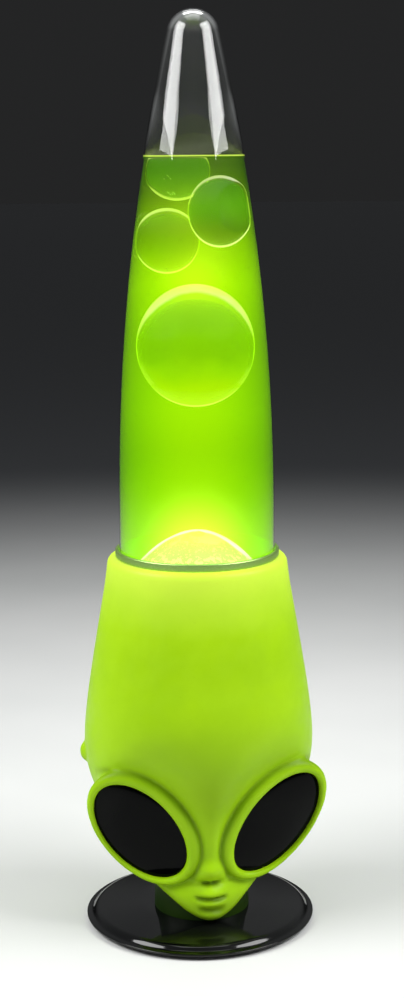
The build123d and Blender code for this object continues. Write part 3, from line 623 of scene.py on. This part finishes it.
def make_mound(core, skin):
    """Wax settled on the bottle's floor: a lumpy dome with a thin skirt, under a clear film with painted glow.
    """
    rng = np.random.default_rng(7)
    phases = rng.uniform(0, 2 * pi, 6)
    rings, spokes = 40, 120
    for name, shader, proud in (("wax_mound_soft", core, 0.0), ("wax_mound_film", skin, FILM)):
        verts = []
        for i in range(rings + 1):
            share = i / rings
            for j in range(spokes if i else 1):
                a = 2 * pi * j / spokes
                edge = MOUND_R * (1 + 0.018 * sin(3 * a + phases[0]) + 0.012 * sin(5 * a + phases[1])) + proud
                r = share * edge
                lump = 0.35 * sin(4 * a + phases[2]) * share + 0.25 * sin(7 * a + 9 * share + phases[3]) * share
                rise = (MOUND_H + proud) * (1 - share ** 1.82) ** 0.86 + lump * (1 - share)
                verts.append((r * cos(a), r * sin(a), FLOOR_TOP + max(rise, 0.0)))
        verts.append((0.0, 0.0, FLOOR_TOP - 0.2))
        last = 1 + (rings - 1) * spokes
        faces = (tip_fan(spokes) + ring_bands(rings - 1, spokes)
                 + end_fan(last, len(verts) - 1, spokes))
        stands_for = ["wax_mound"] if core is shader else ()
        recalculate(piece(name, verts, faces, shader, "bottle", stands_for))


def make_bubbles(shader):
    """A few tiny bubbles that hang in the liquid under its surface."""
    rng = np.random.default_rng(21)
    verts, faces = [], []
    clusters = [(-10.5, 11.0, 350.5, 1.8, 1.0)] * 9 + [(-12.0, 11.0, 358.0, 2.5, 2.0)] * 4
    for across, towards, height, wide, tall in clusters:
        place = (across + rng.uniform(-wide, wide), towards, height + rng.uniform(-tall, tall))
        size = rng.uniform(0.18, 0.34)
        corners, quads = lathe([(0.0, -size), (size * 0.7, -size * 0.7), (size, 0.0), (size * 0.7, size * 0.7),
                                (0.0, size)], 10)
        faces += [tuple(i + len(verts) for i in q) for q in quads]
        verts += [tuple(np.add(v, turned_to_viewer(*place))) for v in corners]
    recalculate(piece("bubbles_small", verts, faces, shader, "bottle"))


def tube_along(points, radius, sides=8, closed=True):
    """Corners and faces of a round wire along points."""
    pts = np.asarray(points, float)
    ahead = np.roll(pts, -1, 0) - np.roll(pts, 1, 0) if closed else np.gradient(pts, axis=0)
    ahead /= np.linalg.norm(ahead, axis=1, keepdims=True)
    ref = np.tile((0.0, 0.0, 1.0), (len(pts), 1))
    side = np.cross(ahead, ref)
    side /= np.linalg.norm(side, axis=1, keepdims=True) + 1e-9
    up = np.cross(side, ahead)
    angles = 2 * pi * np.arange(sides) / sides
    verts = (pts[:, None] + radius * (np.cos(angles)[None, :, None] * side[:, None]
                                      + np.sin(angles)[None, :, None] * up[:, None])).reshape(-1, 3)
    faces = []
    count = len(pts)
    for i in range(count if closed else count - 1):
        n = (i + 1) % count
        for j in range(sides):
            k = (j + 1) % sides
            faces.append((i * sides + j, n * sides + j, n * sides + k, i * sides + k))
    return verts, faces


def make_coil(shader):
    """Wire wound into a ring round the mound."""
    turns, per_turn, ring, coil, wire = 74, 14, 31.6, 1.85, 0.32
    a = np.linspace(0, 2 * pi, turns * per_turn, endpoint=False)
    b = a * turns
    r = ring + coil * np.cos(b)
    z = LIQUID_FLOOR + 0.2 + coil * np.sin(b)
    points = np.stack([r * np.cos(a), r * np.sin(a), z], -1)
    verts, faces = tube_along(points, wire, 6)
    piece("wire_coil_wound", verts, faces, shader, "bottle", ["wire_coil"])


# ---- Foot, neck and cup --------------------------------------------------------------------------
def make_foot(shader):
    """Pressed disc with a rolled rim, a soft shoulder and a shallow cone up to the neck."""
    outline = rounded([
        (10.0, 6.7), (10.0, 8.1), (28.0, 8.1), (50.6, 5.7), (52.9, 3.5), (54.2, 3.3), (55.5, 3.1),
        (55.5, 2.2), (54.9, 1.9), (53.2, 1.9), (52.6, 2.6), (50.8, 4.2), (28.0, 6.7), (10.0, 6.7)],
        (0.3, 3.0, 2.2, 0.8, 0.5, 0.5, 0.5, 0.3, 0.3, 0.3, 1.0, 2.0))
    verts, faces = lathe(outline, 192)
    recalculate(piece("foot_pressed", verts, faces, shader, "base", ["foot_disc"]))


def make_cup(shader):
    """Spun cup: rolled rim over the head's lip, thin wall, open floor."""
    outline = rounded([
        (CUP_BORE, 164.0), (CUP_BORE, 184.1), (37.5, 184.5), (38.4, 184.5), (38.8, 184.1), (38.8, 181.3),
        (38.5, 181.02), (37.7, 181.0), (37.7, 163.2), (29.0, 163.2), (29.0, 164.0), (CUP_BORE, 164.0)],
        (0.5, 0.3, 0.4, 0.4, 0.3, 0.2, 0.3, 0.6, 0.2, 0.2))
    verts, faces = lathe(outline, 192)
    recalculate(piece("cup_spun", verts, faces, shader, "base", ["bottle_cup"]))


# ---- Materials -----------------------------------------------------------------------------------
def lime_plastic(name, light, dark, glow):
    """Satin moulded plastic: uneven colour, a fine moulded texture and, on the head, painted shade in its
    creases and a painted glow near its top for the bulb's light from inside.
    """
    m = Shader(name, Roughness=0.42, Specular_IOR_Level=0.14)
    cloud = m.noise(28.0, 4.0)
    speck = m.noise(900.0, 2.0)
    base = m.mix(m.between(cloud, 0.35, 0.68), dark, light)
    base = m.mix(m.between(speck, 0.62, 0.8, 0.0, 0.12), base, tuple(c * 0.55 for c in dark))
    if glow:
        # Painted shade: the head is painted darker in its creases, at the lips and nostrils, on the forehead
        # and towards the chin
        crease_painted_shade = m.node("ShaderNodeAttribute", attribute_name="crease_painted_shade").outputs["Fac"]
        base = m.mix(crease_painted_shade, base, tuple(c * 0.42 for c in dark))
    m.feed(Base_Color=base, Roughness=m.between(m.noise(140.0), 0.3, 0.7, 0.36, 0.5))
    m.bump(m.noise(1100.0, 2.0), 0.12, 0.00025)
    if glow:
        # Painted light: the head glows more towards its top, for the bulb's light shining through the plastic
        height = m.axis("Z")
        share = m.between(height, 0.140, 0.182)
        share.node.interpolation_type = "LINEAR"
        warm = m.ramp(share, [
            (0.0, (0.0, 0.0, 0.0)), (0.25, (0.02, 0.03, 0.0)), (0.65, (0.16, 0.17, 0.03)),
            (1.0, (0.36, 0.34, 0.07))])
        m.feed(Emission_Color=warm)
        m.bsdf.inputs["Emission Strength"].default_value = 1.0
    return m


def gloss_black(name, rough_low, rough_high, level):
    """Black lacquer with a faint dust and polish pattern."""
    m = Shader(name, Specular_IOR_Level=level)
    dust = m.noise(2600.0, 2.0)
    bloom = m.between(m.noise(17.0, 1.0), 0.42, 0.7, 0.0, 0.35)
    base = m.mix(m.maths("ADD", bloom, m.between(dust, 0.66, 0.8, 0.0, 0.5)), (0.0008, 0.0010, 0.0010),
                 (0.012, 0.013, 0.012))
    m.feed(Base_Color=base, Roughness=m.between(m.noise(60.0, 5.0), 0.3, 0.75, rough_low, rough_high))
    m.bump(m.noise(45.0, 2.0), 0.03, 0.0004)
    return m


def metal(name, colour, dark, rough_low, rough_high, stretch):
    m = Shader(name, Metallic=1.0)
    lines = m.noise(900.0, 3.0, vector=m.mapped(stretch))
    m.feed(Base_Color=m.mix(m.between(lines, 0.3, 0.72), dark, colour),
           Roughness=m.between(lines, 0.25, 0.75, rough_low, rough_high))
    m.bump(lines, 0.08, 0.0001)
    return m


def plain_dielectric(name, colour, dark, rough, scale, bump, **values):
    m = Shader(name, **values)
    cloud = m.noise(scale, 4.0)
    m.feed(Base_Color=m.mix(m.between(cloud, 0.3, 0.7), dark, colour),
           Roughness=m.between(m.noise(scale * 2.3), 0.3, 0.7, rough - 0.07, rough + 0.07))
    m.bump(m.noise(scale * 6), bump, 0.0003)
    return m


def clear_glass(name, tint, bump=0.02):
    m = Shader(name, Transmission_Weight=1.0, IOR=1.45, Roughness=0.0, Specular_IOR_Level=0.5)
    m.feed(Base_Color=m.mix(m.between(m.noise(14.0), 0.3, 0.7), tint, tuple(min(1.0, c * 1.02) for c in tint)))
    m.bump(m.noise(22.0, 1.0), bump, 0.0008)
    return m


def glowing_liquid():
    """Dyed liquid with painted light from the bulb below: brightest round the mound, deeper green towards the
    surface.
    """
    m = Shader("lime_liquid", Roughness=0.08, Specular_IOR_Level=0.1, Alpha=0.26, IOR=1.33)
    height = m.between(m.axis("Z"), 0.172, 0.3667)
    height.node.interpolation_type = "LINEAR"
    drift = m.noise(38.0, 3.0, distortion=0.6)
    place = m.maths("ADD", height, m.between(drift, 0.25, 0.75, -0.03, 0.03))
    # Painted light: the surface glow is brightest at the bottom and fades towards the surface
    glow = m.ramp(place, [
        (0.0, (0.34, 0.72, 0.02)), (0.14, (0.26, 0.62, 0.01)), (0.26, (0.16, 0.50, 0.0)),
        (0.40, (0.20, 0.54, 0.0)), (0.62, (0.22, 0.58, 0.0)), (0.72, (0.28, 0.66, 0.0)),
        (0.84, (0.12, 0.36, 0.0)), (0.93, (0.03, 0.12, 0.0)), (1.0, (0.03, 0.10, 0.0))])
    # Painted highlight: a thin bright line at the liquid's surface
    glow = m.mix(m.between(m.axis("Z"), 0.36645, 0.36675), glow, (0.75, 1.0, 0.12))
    # Painted shade: the surface is made more solid and dark near the top, veiling the glow there
    painted_shade_veil = m.between(height, 0.86, 0.98, 0.26, 0.5)
    m.feed(Base_Color=(0.01, 0.04, 0.0, 1.0), Emission_Color=glow, Alpha=painted_shade_veil)
    m.bsdf.inputs["Emission Strength"].default_value = 1.0
    # Painted light: the volume's glow is strongest near the bottom and weakens upwards
    beam = m.ramp(height, [
        (0.0, (1.0,) * 3), (0.20, (0.62,) * 3), (0.30, (0.52,) * 3), (0.40, (0.62,) * 3),
        (0.56, (0.56,) * 3), (0.70, (0.80,) * 3), (0.80, (0.66,) * 3), (0.89, (0.42,) * 3),
        (0.98, (0.14,) * 3)])
    # Painted light: yellower near the axis, greener towards the wall, with warm pools round the mound and the
    # large ball
    out = m.node("ShaderNodeVectorMath", {0: m.mapped((1.0, 1.0, 0.0))}, operation="LENGTH").outputs["Value"]
    colour = m.mix(m.between(out, 0.006, 0.036), (0.80, 1.0, 0.0), (0.36, 0.80, 0.0))
    for middle, reach, warm in ((0.189, 0.031, (2.5, 2.3, 0.6)), (0.311, 0.022, (1.45, 1.4, 0.05))):
        near = m.node("ShaderNodeVectorMath", {0: m.coords, 1: (0.0, 0.0, middle)}, operation="DISTANCE")
        colour = m.mix(m.between(near.outputs["Value"], 0.0, reach, 1.0, 0.0), colour, warm)
    absorb = m.node("ShaderNodeVolumeAbsorption", {"Color": (0.667, 0.85, 0.0, 1.0), "Density": 60.0})
    light = m.node("ShaderNodeEmission", {"Color": colour, "Strength": m.maths("MULTIPLY", beam, 32.0)})
    both = m.node("ShaderNodeAddShader")
    m.tree.links.new(absorb.outputs[0], both.inputs[0])
    m.tree.links.new(light.outputs[0], both.inputs[1])
    m.volume(both)
    return m


def upward(m):
    """How far the surface faces up, from -1 to 1, in the piece's own space."""
    normal = m.node("ShaderNodeTexCoord").outputs["Normal"]
    return m.node("ShaderNodeSeparateXYZ", {"Vector": normal}).outputs["Z"]


def wax_skin():
    """The skin of a ball of wax, with painted light: glassy, most solid where it is seen edge-on, painted
    brightest at its crown.
    """
    m = Shader("wax_skin", Roughness=0.12, Specular_IOR_Level=0.6)
    cloud = m.noise(70.0, 3.0)
    crown = m.maths("ADD", upward(m), m.between(cloud, 0.3, 0.7, -0.05, 0.05))
    # Painted light: the glow is painted by how far the skin faces up, brightest at its crown, with a bright
    # line at its bottom
    glow = m.ramp(m.between(crown, -1.0, 1.0), [
        (0.0, (0.80, 1.0, 0.25)), (0.10, (0.50, 0.90, 0.03)), (0.30, (0.36, 0.80, 0.006)),
        (0.62, (0.42, 0.87, 0.02)), (0.74, (0.72, 0.98, 0.22)), (0.88, (0.95, 1.0, 0.55)),
        (1.0, (1.0, 1.0, 0.75))])
    # Painted reflections: white patches near the crown
    painted_reflection_patches = m.between(m.noise(95.0, 1.0), 0.54, 0.60)
    glow = m.mix(m.maths("MULTIPLY", painted_reflection_patches, m.between(crown, 0.5, 0.8)), glow, (1.0, 1.0, 0.85))
    # Painted highlight on the mound, white at the crown: the dyed liquid before it takes most of its blue
    mound_painted_highlight = m.maths("MULTIPLY", m.between(m.axis("Z"), 0.205, 0.200), m.between(crown, 0.55, 0.98))
    glow = m.mix(mound_painted_highlight, glow, (1.6, 1.5, 7.0))
    # The film is most solid edge-on, so its painted glow shows as a bright rim, widest at the crown as a
    # crescent
    edge = m.node("ShaderNodeLayerWeight", {"Blend": 0.5}).outputs["Facing"]
    thick = m.between(m.axis("Z"), 0.300, 0.315, 0.46, 0.30)
    thick = m.maths("MULTIPLY", thick, m.between(m.axis("Z"), 0.195, 0.215, 0.35, 1.0))
    start = m.maths("SUBTRACT", 0.80, m.maths("MULTIPLY", m.maths("MAXIMUM", crown, 0.0), thick))
    film = m.between(m.maths("SUBTRACT", edge, start), 0.0, 0.12, 0.04, 0.8)
    m.feed(Base_Color=(0.01, 0.04, 0.0, 1.0), Emission_Color=glow, Alpha=film)
    m.bsdf.inputs["Emission Strength"].default_value = 1.5
    return m


def wax_heart():
    """The darker wax inside a ball, with painted light from below."""
    m = Shader("wax_heart", Roughness=0.4, Specular_IOR_Level=0.1, Alpha=0.82)
    cloud = m.noise(60.0, 4.0, distortion=0.4)
    crown = m.maths("ADD", upward(m), m.between(cloud, 0.3, 0.7, -0.12, 0.12))
    # Painted light: brighter where the heart faces down, darker at its top
    glow = m.ramp(m.between(crown, -1.0, 1.0), [
        (0.0, (0.60, 1.0, 0.0)), (0.25, (0.42, 0.85, 0.0)), (0.5, (0.22, 0.55, 0.0)),
        (0.8, (0.18, 0.50, 0.0)), (1.0, (0.10, 0.36, 0.0))])
    # Painted light: a yellow glow low in the large ball, and painted shade that dims the hearts in the small
    # balls above it
    low = m.maths("ADD", m.axis("Z"), m.between(cloud, 0.3, 0.7, -0.002, 0.002))
    glow = m.mix(m.maths("MULTIPLY", m.between(low, 0.270, 0.252), m.between(low, 0.245, 0.250)), glow,
                 (0.80, 1.05, 0.0))
    size = m.between(m.axis("Z"), 0.295, 0.335)
    dim = m.mix(m.between(m.axis("Z"), 0.332, 0.345), (0.0, 0.03, 0.0), (0.05, 0.34, 0.0))
    glow = m.mix(size, glow, m.mix(0.82, glow, dim))
    m.feed(Base_Color=(0.01, 0.04, 0.0, 1.0), Emission_Color=glow)
    m.bsdf.inputs["Emission Strength"].default_value = 0.9
    return m


def glowing_mound():
    """Soft wax painted to glow as if lit from below, speckled, with painted glints of the wire near its foot.
    """
    m = Shader("wax_mound_glow", Roughness=0.3, Alpha=0.92)
    cloud = m.noise(90.0, 4.0, distortion=0.5)
    height = m.between(m.axis("Z"), 0.171, 0.193)
    # Painted light: the glow brightens towards the top, nearly white at its crown
    glow = m.ramp(m.maths("ADD", height, m.between(cloud, 0.3, 0.7, -0.2, 0.2)), [
        (0.0, (0.66, 0.94, 0.45)), (0.5, (0.64, 0.92, 0.5)), (0.9, (0.70, 0.96, 0.6)),
        (1.0, (0.9, 1.0, 1.0))])
    specks = m.between(m.noise(700.0, 1.0), 0.60, 0.68)
    # Painted glints of the wire, in a band near the mound's foot
    painted_glints = m.between(m.noise(420.0, 1.0, vector=m.mapped((1.0, 1.0, 0.25))), 0.53, 0.60)
    band = m.maths("MULTIPLY", m.between(m.axis("Z"), 0.1795, 0.1803),
                   m.between(m.axis("Z"), 0.1842, 0.1832))
    glow = m.mix(m.maths("MAXIMUM", specks, m.maths("MULTIPLY", painted_glints, band)), glow, (1.2, 1.2, 0.95))
    m.feed(Base_Color=glow, Emission_Color=glow)
    m.bsdf.inputs["Emission Strength"].default_value = 1.0
    m.bump(m.noise(300.0, 2.0), 0.1, 0.0004)
    return m


def lit_metal(name, colour, glow, strength):
    """Metal given an emission: the filament's own glow, and a painted glow on wire in the beam of the bulb."""
    m = Shader(name, Metallic=1.0, Roughness=0.25)
    lines = m.noise(700.0, 2.0)
    m.feed(Base_Color=m.mix(m.between(lines, 0.3, 0.7), tuple(c * 0.7 for c in colour), colour),
           Emission_Color=m.mix(m.between(lines, 0.35, 0.65), tuple(c * 0.4 for c in glow), glow))
    m.bsdf.inputs["Emission Strength"].default_value = strength
    return m


# ---- Stage ---------------------------------------------------------------------------------------
def make_floor():
    """A wide pale floor, painted darker away from the lamp: a painted falloff of light."""
    radius, spokes = 14.0, 96
    angles = [2 * pi * i / spokes for i in range(spokes)]
    verts = [(radius * cos(a), radius * sin(a), 0.0) for a in angles]
    mesh = bpy.data.meshes.new("floor")
    mesh.from_pydata(verts, [], [list(range(spokes))])
    m = Shader("floor_paper_painted_falloff", Roughness=0.75, Specular_IOR_Level=0.2)
    paper = m.mix(m.between(m.noise(3.0), 0.3, 0.7), (0.60, 0.61, 0.60), (0.66, 0.665, 0.655))
    away = m.node("ShaderNodeVectorMath", {0: m.mapped((1.0, 1.0, 0.0))}, operation="LENGTH").outputs["Value"]
    # Painted shade: the floor darkens to near black away from the lamp
    m.feed(Base_Color=m.mix(m.between(away, 0.16, 1.35), paper, (0.03, 0.032, 0.035)))
    mesh.materials.append(m.material)
    floor = bpy.data.objects.new("floor", mesh)
    bpy.context.scene.collection.objects.link(floor)


def area_light(name, place, target, size, power, colour=(1.0, 1.0, 1.0)):
    data = bpy.data.lights.new(name, "AREA")
    data.shape = "RECTANGLE"
    data.size, data.size_y = size
    data.energy = power
    data.color = colour
    made = bpy.data.objects.new(name, data)
    bpy.context.scene.collection.objects.link(made)
    made.location = place
    made.rotation_euler = (Vector(target) - Vector(place)).to_track_quat("-Z", "Y").to_euler()


def make_camera():
    """Level with the liquid's surface, in front of the face and a little to its side, looking down."""
    data = bpy.data.cameras.new("camera")
    data.sensor_fit = "VERTICAL"
    data.sensor_height = 36.0
    data.lens = CAMERA_LENS
    made = bpy.data.objects.new("camera", data)
    bpy.context.scene.collection.objects.link(made)
    made.location = (-CAMERA_DISTANCE * sin(FACE_TURN), -CAMERA_DISTANCE * cos(FACE_TURN), CAMERA_HEIGHT)
    heading, down = FACE_TURN + radians(CAMERA_ASIDE), radians(CAMERA_DOWN)
    view = Vector((sin(heading), cos(heading), 0.0)) * cos(down) - Vector((0, 0, sin(down)))
    turn = view.to_track_quat("-Z", "Y").to_matrix()
    made.rotation_euler = (turn @ Matrix.Rotation(radians(CAMERA_ROLL), 3, "Z")).to_euler()
    bpy.context.scene.camera = made


def make_world():
    """Dark surroundings that lighten overhead, the same all the way round."""
    world = bpy.data.worlds.new("studio")
    world.use_nodes = True
    tree = world.node_tree
    height = tree.nodes.new("ShaderNodeSeparateXYZ")
    tree.links.new(tree.nodes.new("ShaderNodeTexCoord").outputs["Generated"], height.inputs[0])
    ramp = tree.nodes.new("ShaderNodeValToRGB")
    levels = ((0.0, 0.0178), (0.12, 0.018), (0.40, 0.22), (1.0, 0.26))
    for _ in levels[2:]:
        ramp.color_ramp.elements.new(0.5)
    for element, (place, level) in zip(ramp.color_ramp.elements, levels):
        element.position = place
        element.color = (level, level * 1.02, level * 1.04, 1.0)
    tree.links.new(height.outputs["Z"], ramp.inputs[0])
    tree.links.new(ramp.outputs["Color"], tree.nodes["Background"].inputs["Color"])
    bpy.context.scene.world = world


def finish_nodes(materials):
    """Gives each CAD node that still shows its procedural material."""
    for node, shader in materials.items():
        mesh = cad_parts[node].data
        mesh.materials.clear()
        mesh.materials.append(shader.material)


def main():
    scene = bpy.context.scene
    scene.view_settings.view_transform = "Standard"
    scene.cycles.max_bounces = 24
    scene.cycles.transmission_bounces = 20
    scene.cycles.transparent_max_bounces = 64
    make_world()
    make_floor()
    make_camera()
    viewer = Vector((-sin(FACE_TURN), -cos(FACE_TURN), 0.0))
    right = Vector((cos(FACE_TURN), -sin(FACE_TURN), 0.0))
    for name, side in (("softbox_left", -1), ("softbox_right", 1)):
        across = radians(SOFTBOX_ANGLE)
        place = (viewer * cos(across) + right * side * sin(across)) * SOFTBOX_REACH
        place += Vector((0, 0, SOFTBOX_HEIGHT))
        area_light(name, place, (0, 0, 0.40), (0.74, 0.66), 15.0)
    area_light("top_soft", (0.0, 0.1, 1.5), (0, 0, 0.1), (0.8, 0.8), 4.0)
    area_light("back_soft", -viewer * 0.75 + Vector((0, 0, 1.2)), (0, 0, 0.30), (0.62, 0.30), 1.6)

    head = lime_plastic("head_plastic", (0.36, 0.64, 0.006), (0.32, 0.59, 0.004), True)
    # Painted shade: the neck is the head's lime plastic painted near black, for the shadow under the head
    neck = lime_plastic("neck_plastic", (0.014, 0.036, 0.001), (0.008, 0.024, 0.001), False)
    eye = gloss_black("eye_gloss", 0.04, 0.09, 0.07)
    foot = gloss_black("foot_gloss", 0.04, 0.10, 0.4)
    # Painted reflection: the cup's metal is tinted green and given a faint green emission, for the lit liquid
    # and head reflected in it
    aluminium_painted_reflection = metal("cup_aluminium", (0.40, 0.58, 0.20), (0.26, 0.42, 0.12), 0.3, 0.5, (1.0, 1.0, 12.0))
    aluminium_painted_reflection.feed(Emission_Color=(0.42, 0.75, 0.12, 1.0))
    aluminium_painted_reflection.bsdf.inputs["Emission Strength"].default_value = 0.16
    steel = metal("bright_steel", (0.66, 0.66, 0.67), (0.5, 0.5, 0.51), 0.25, 0.45, (1.0, 1.0, 1.0))
    brass = metal("bright_brass", (0.83, 0.62, 0.28), (0.62, 0.44, 0.17), 0.2, 0.4, (1.0, 1.0, 8.0))
    rubber = plain_dielectric("black_rubber", (0.035, 0.035, 0.036), (0.02, 0.02, 0.021), 0.6, 200.0, 0.15)
    silicone = plain_dielectric("silicone", (0.75, 0.77, 0.70), (0.66, 0.68, 0.6), 0.45, 160.0, 0.05,
                                Subsurface_Weight=0.1)
    cover = plain_dielectric("cover_plastic", (0.03, 0.03, 0.032), (0.018, 0.018, 0.02), 0.5, 240.0, 0.2)
    holder = plain_dielectric("holder_moulding", (0.80, 0.78, 0.71), (0.72, 0.69, 0.61), 0.4, 150.0, 0.08)
    insulator = plain_dielectric("black_glass", (0.03, 0.02, 0.05), (0.015, 0.01, 0.03), 0.12, 120.0, 0.02)
    glass = clear_glass("bottle_clear", (0.97, 0.99, 0.96))
    bulb = clear_glass("bulb_clear", (0.98, 0.98, 0.96), 0.01)
    hot = lit_metal("filament_wire", (0.6, 0.58, 0.55), (1.0, 0.72, 0.35), 6.0)
    # Painted light: the coil glows as if lit by the bulb
    coil = lit_metal("coil_wire_painted_glow", (0.85, 0.86, 0.8), (1.0, 1.0, 0.6), 0.9)

    # Painted light: the bubbles are given a faint green glow
    bubble = Shader("bubble_skin", Roughness=0.1, Specular_IOR_Level=0.6, Alpha=0.7)
    bubble.feed(Base_Color=bubble.mix(bubble.noise(400.0), (0.4, 0.7, 0.1), (0.5, 0.8, 0.2)),
                Emission_Color=(0.55, 0.9, 0.15, 1.0))
    bubble.bsdf.inputs["Emission Strength"].default_value = 0.8

    make_head(head)
    for side in (-1, 1):
        make_eye(side, eye)
    make_foot(foot)
    make_cup(aluminium_painted_reflection)
    make_bottle(glass)
    make_liquid(glowing_liquid())
    skin = wax_skin()
    make_blobs(skin, wax_heart())
    make_mound(glowing_mound(), skin)
    make_coil(coil)
    make_bubbles(bubble)
    finish_nodes({
        "underside_cover": cover, "rubber_pads": rubber, "cover_screws": steel, "neck": neck,
        "neck_screws": steel, "cord_gland": rubber, "seat_gasket": silicone, "cup_screws": steel,
        "socket_bracket": steel, "bracket_rivets": steel, "lamp_holder": holder,
        "holder_ring_nut": holder, "holder_screw_shell": brass, "holder_contact": brass,
        "terminal_screws": brass, "bulb_contact": steel, "bulb_insulator": insulator,
        "bulb_cap": brass, "bulb_glass": bulb, "bulb_stem": bulb, "bulb_filament": hot,
        "filler_bung": rubber,
    })


main()
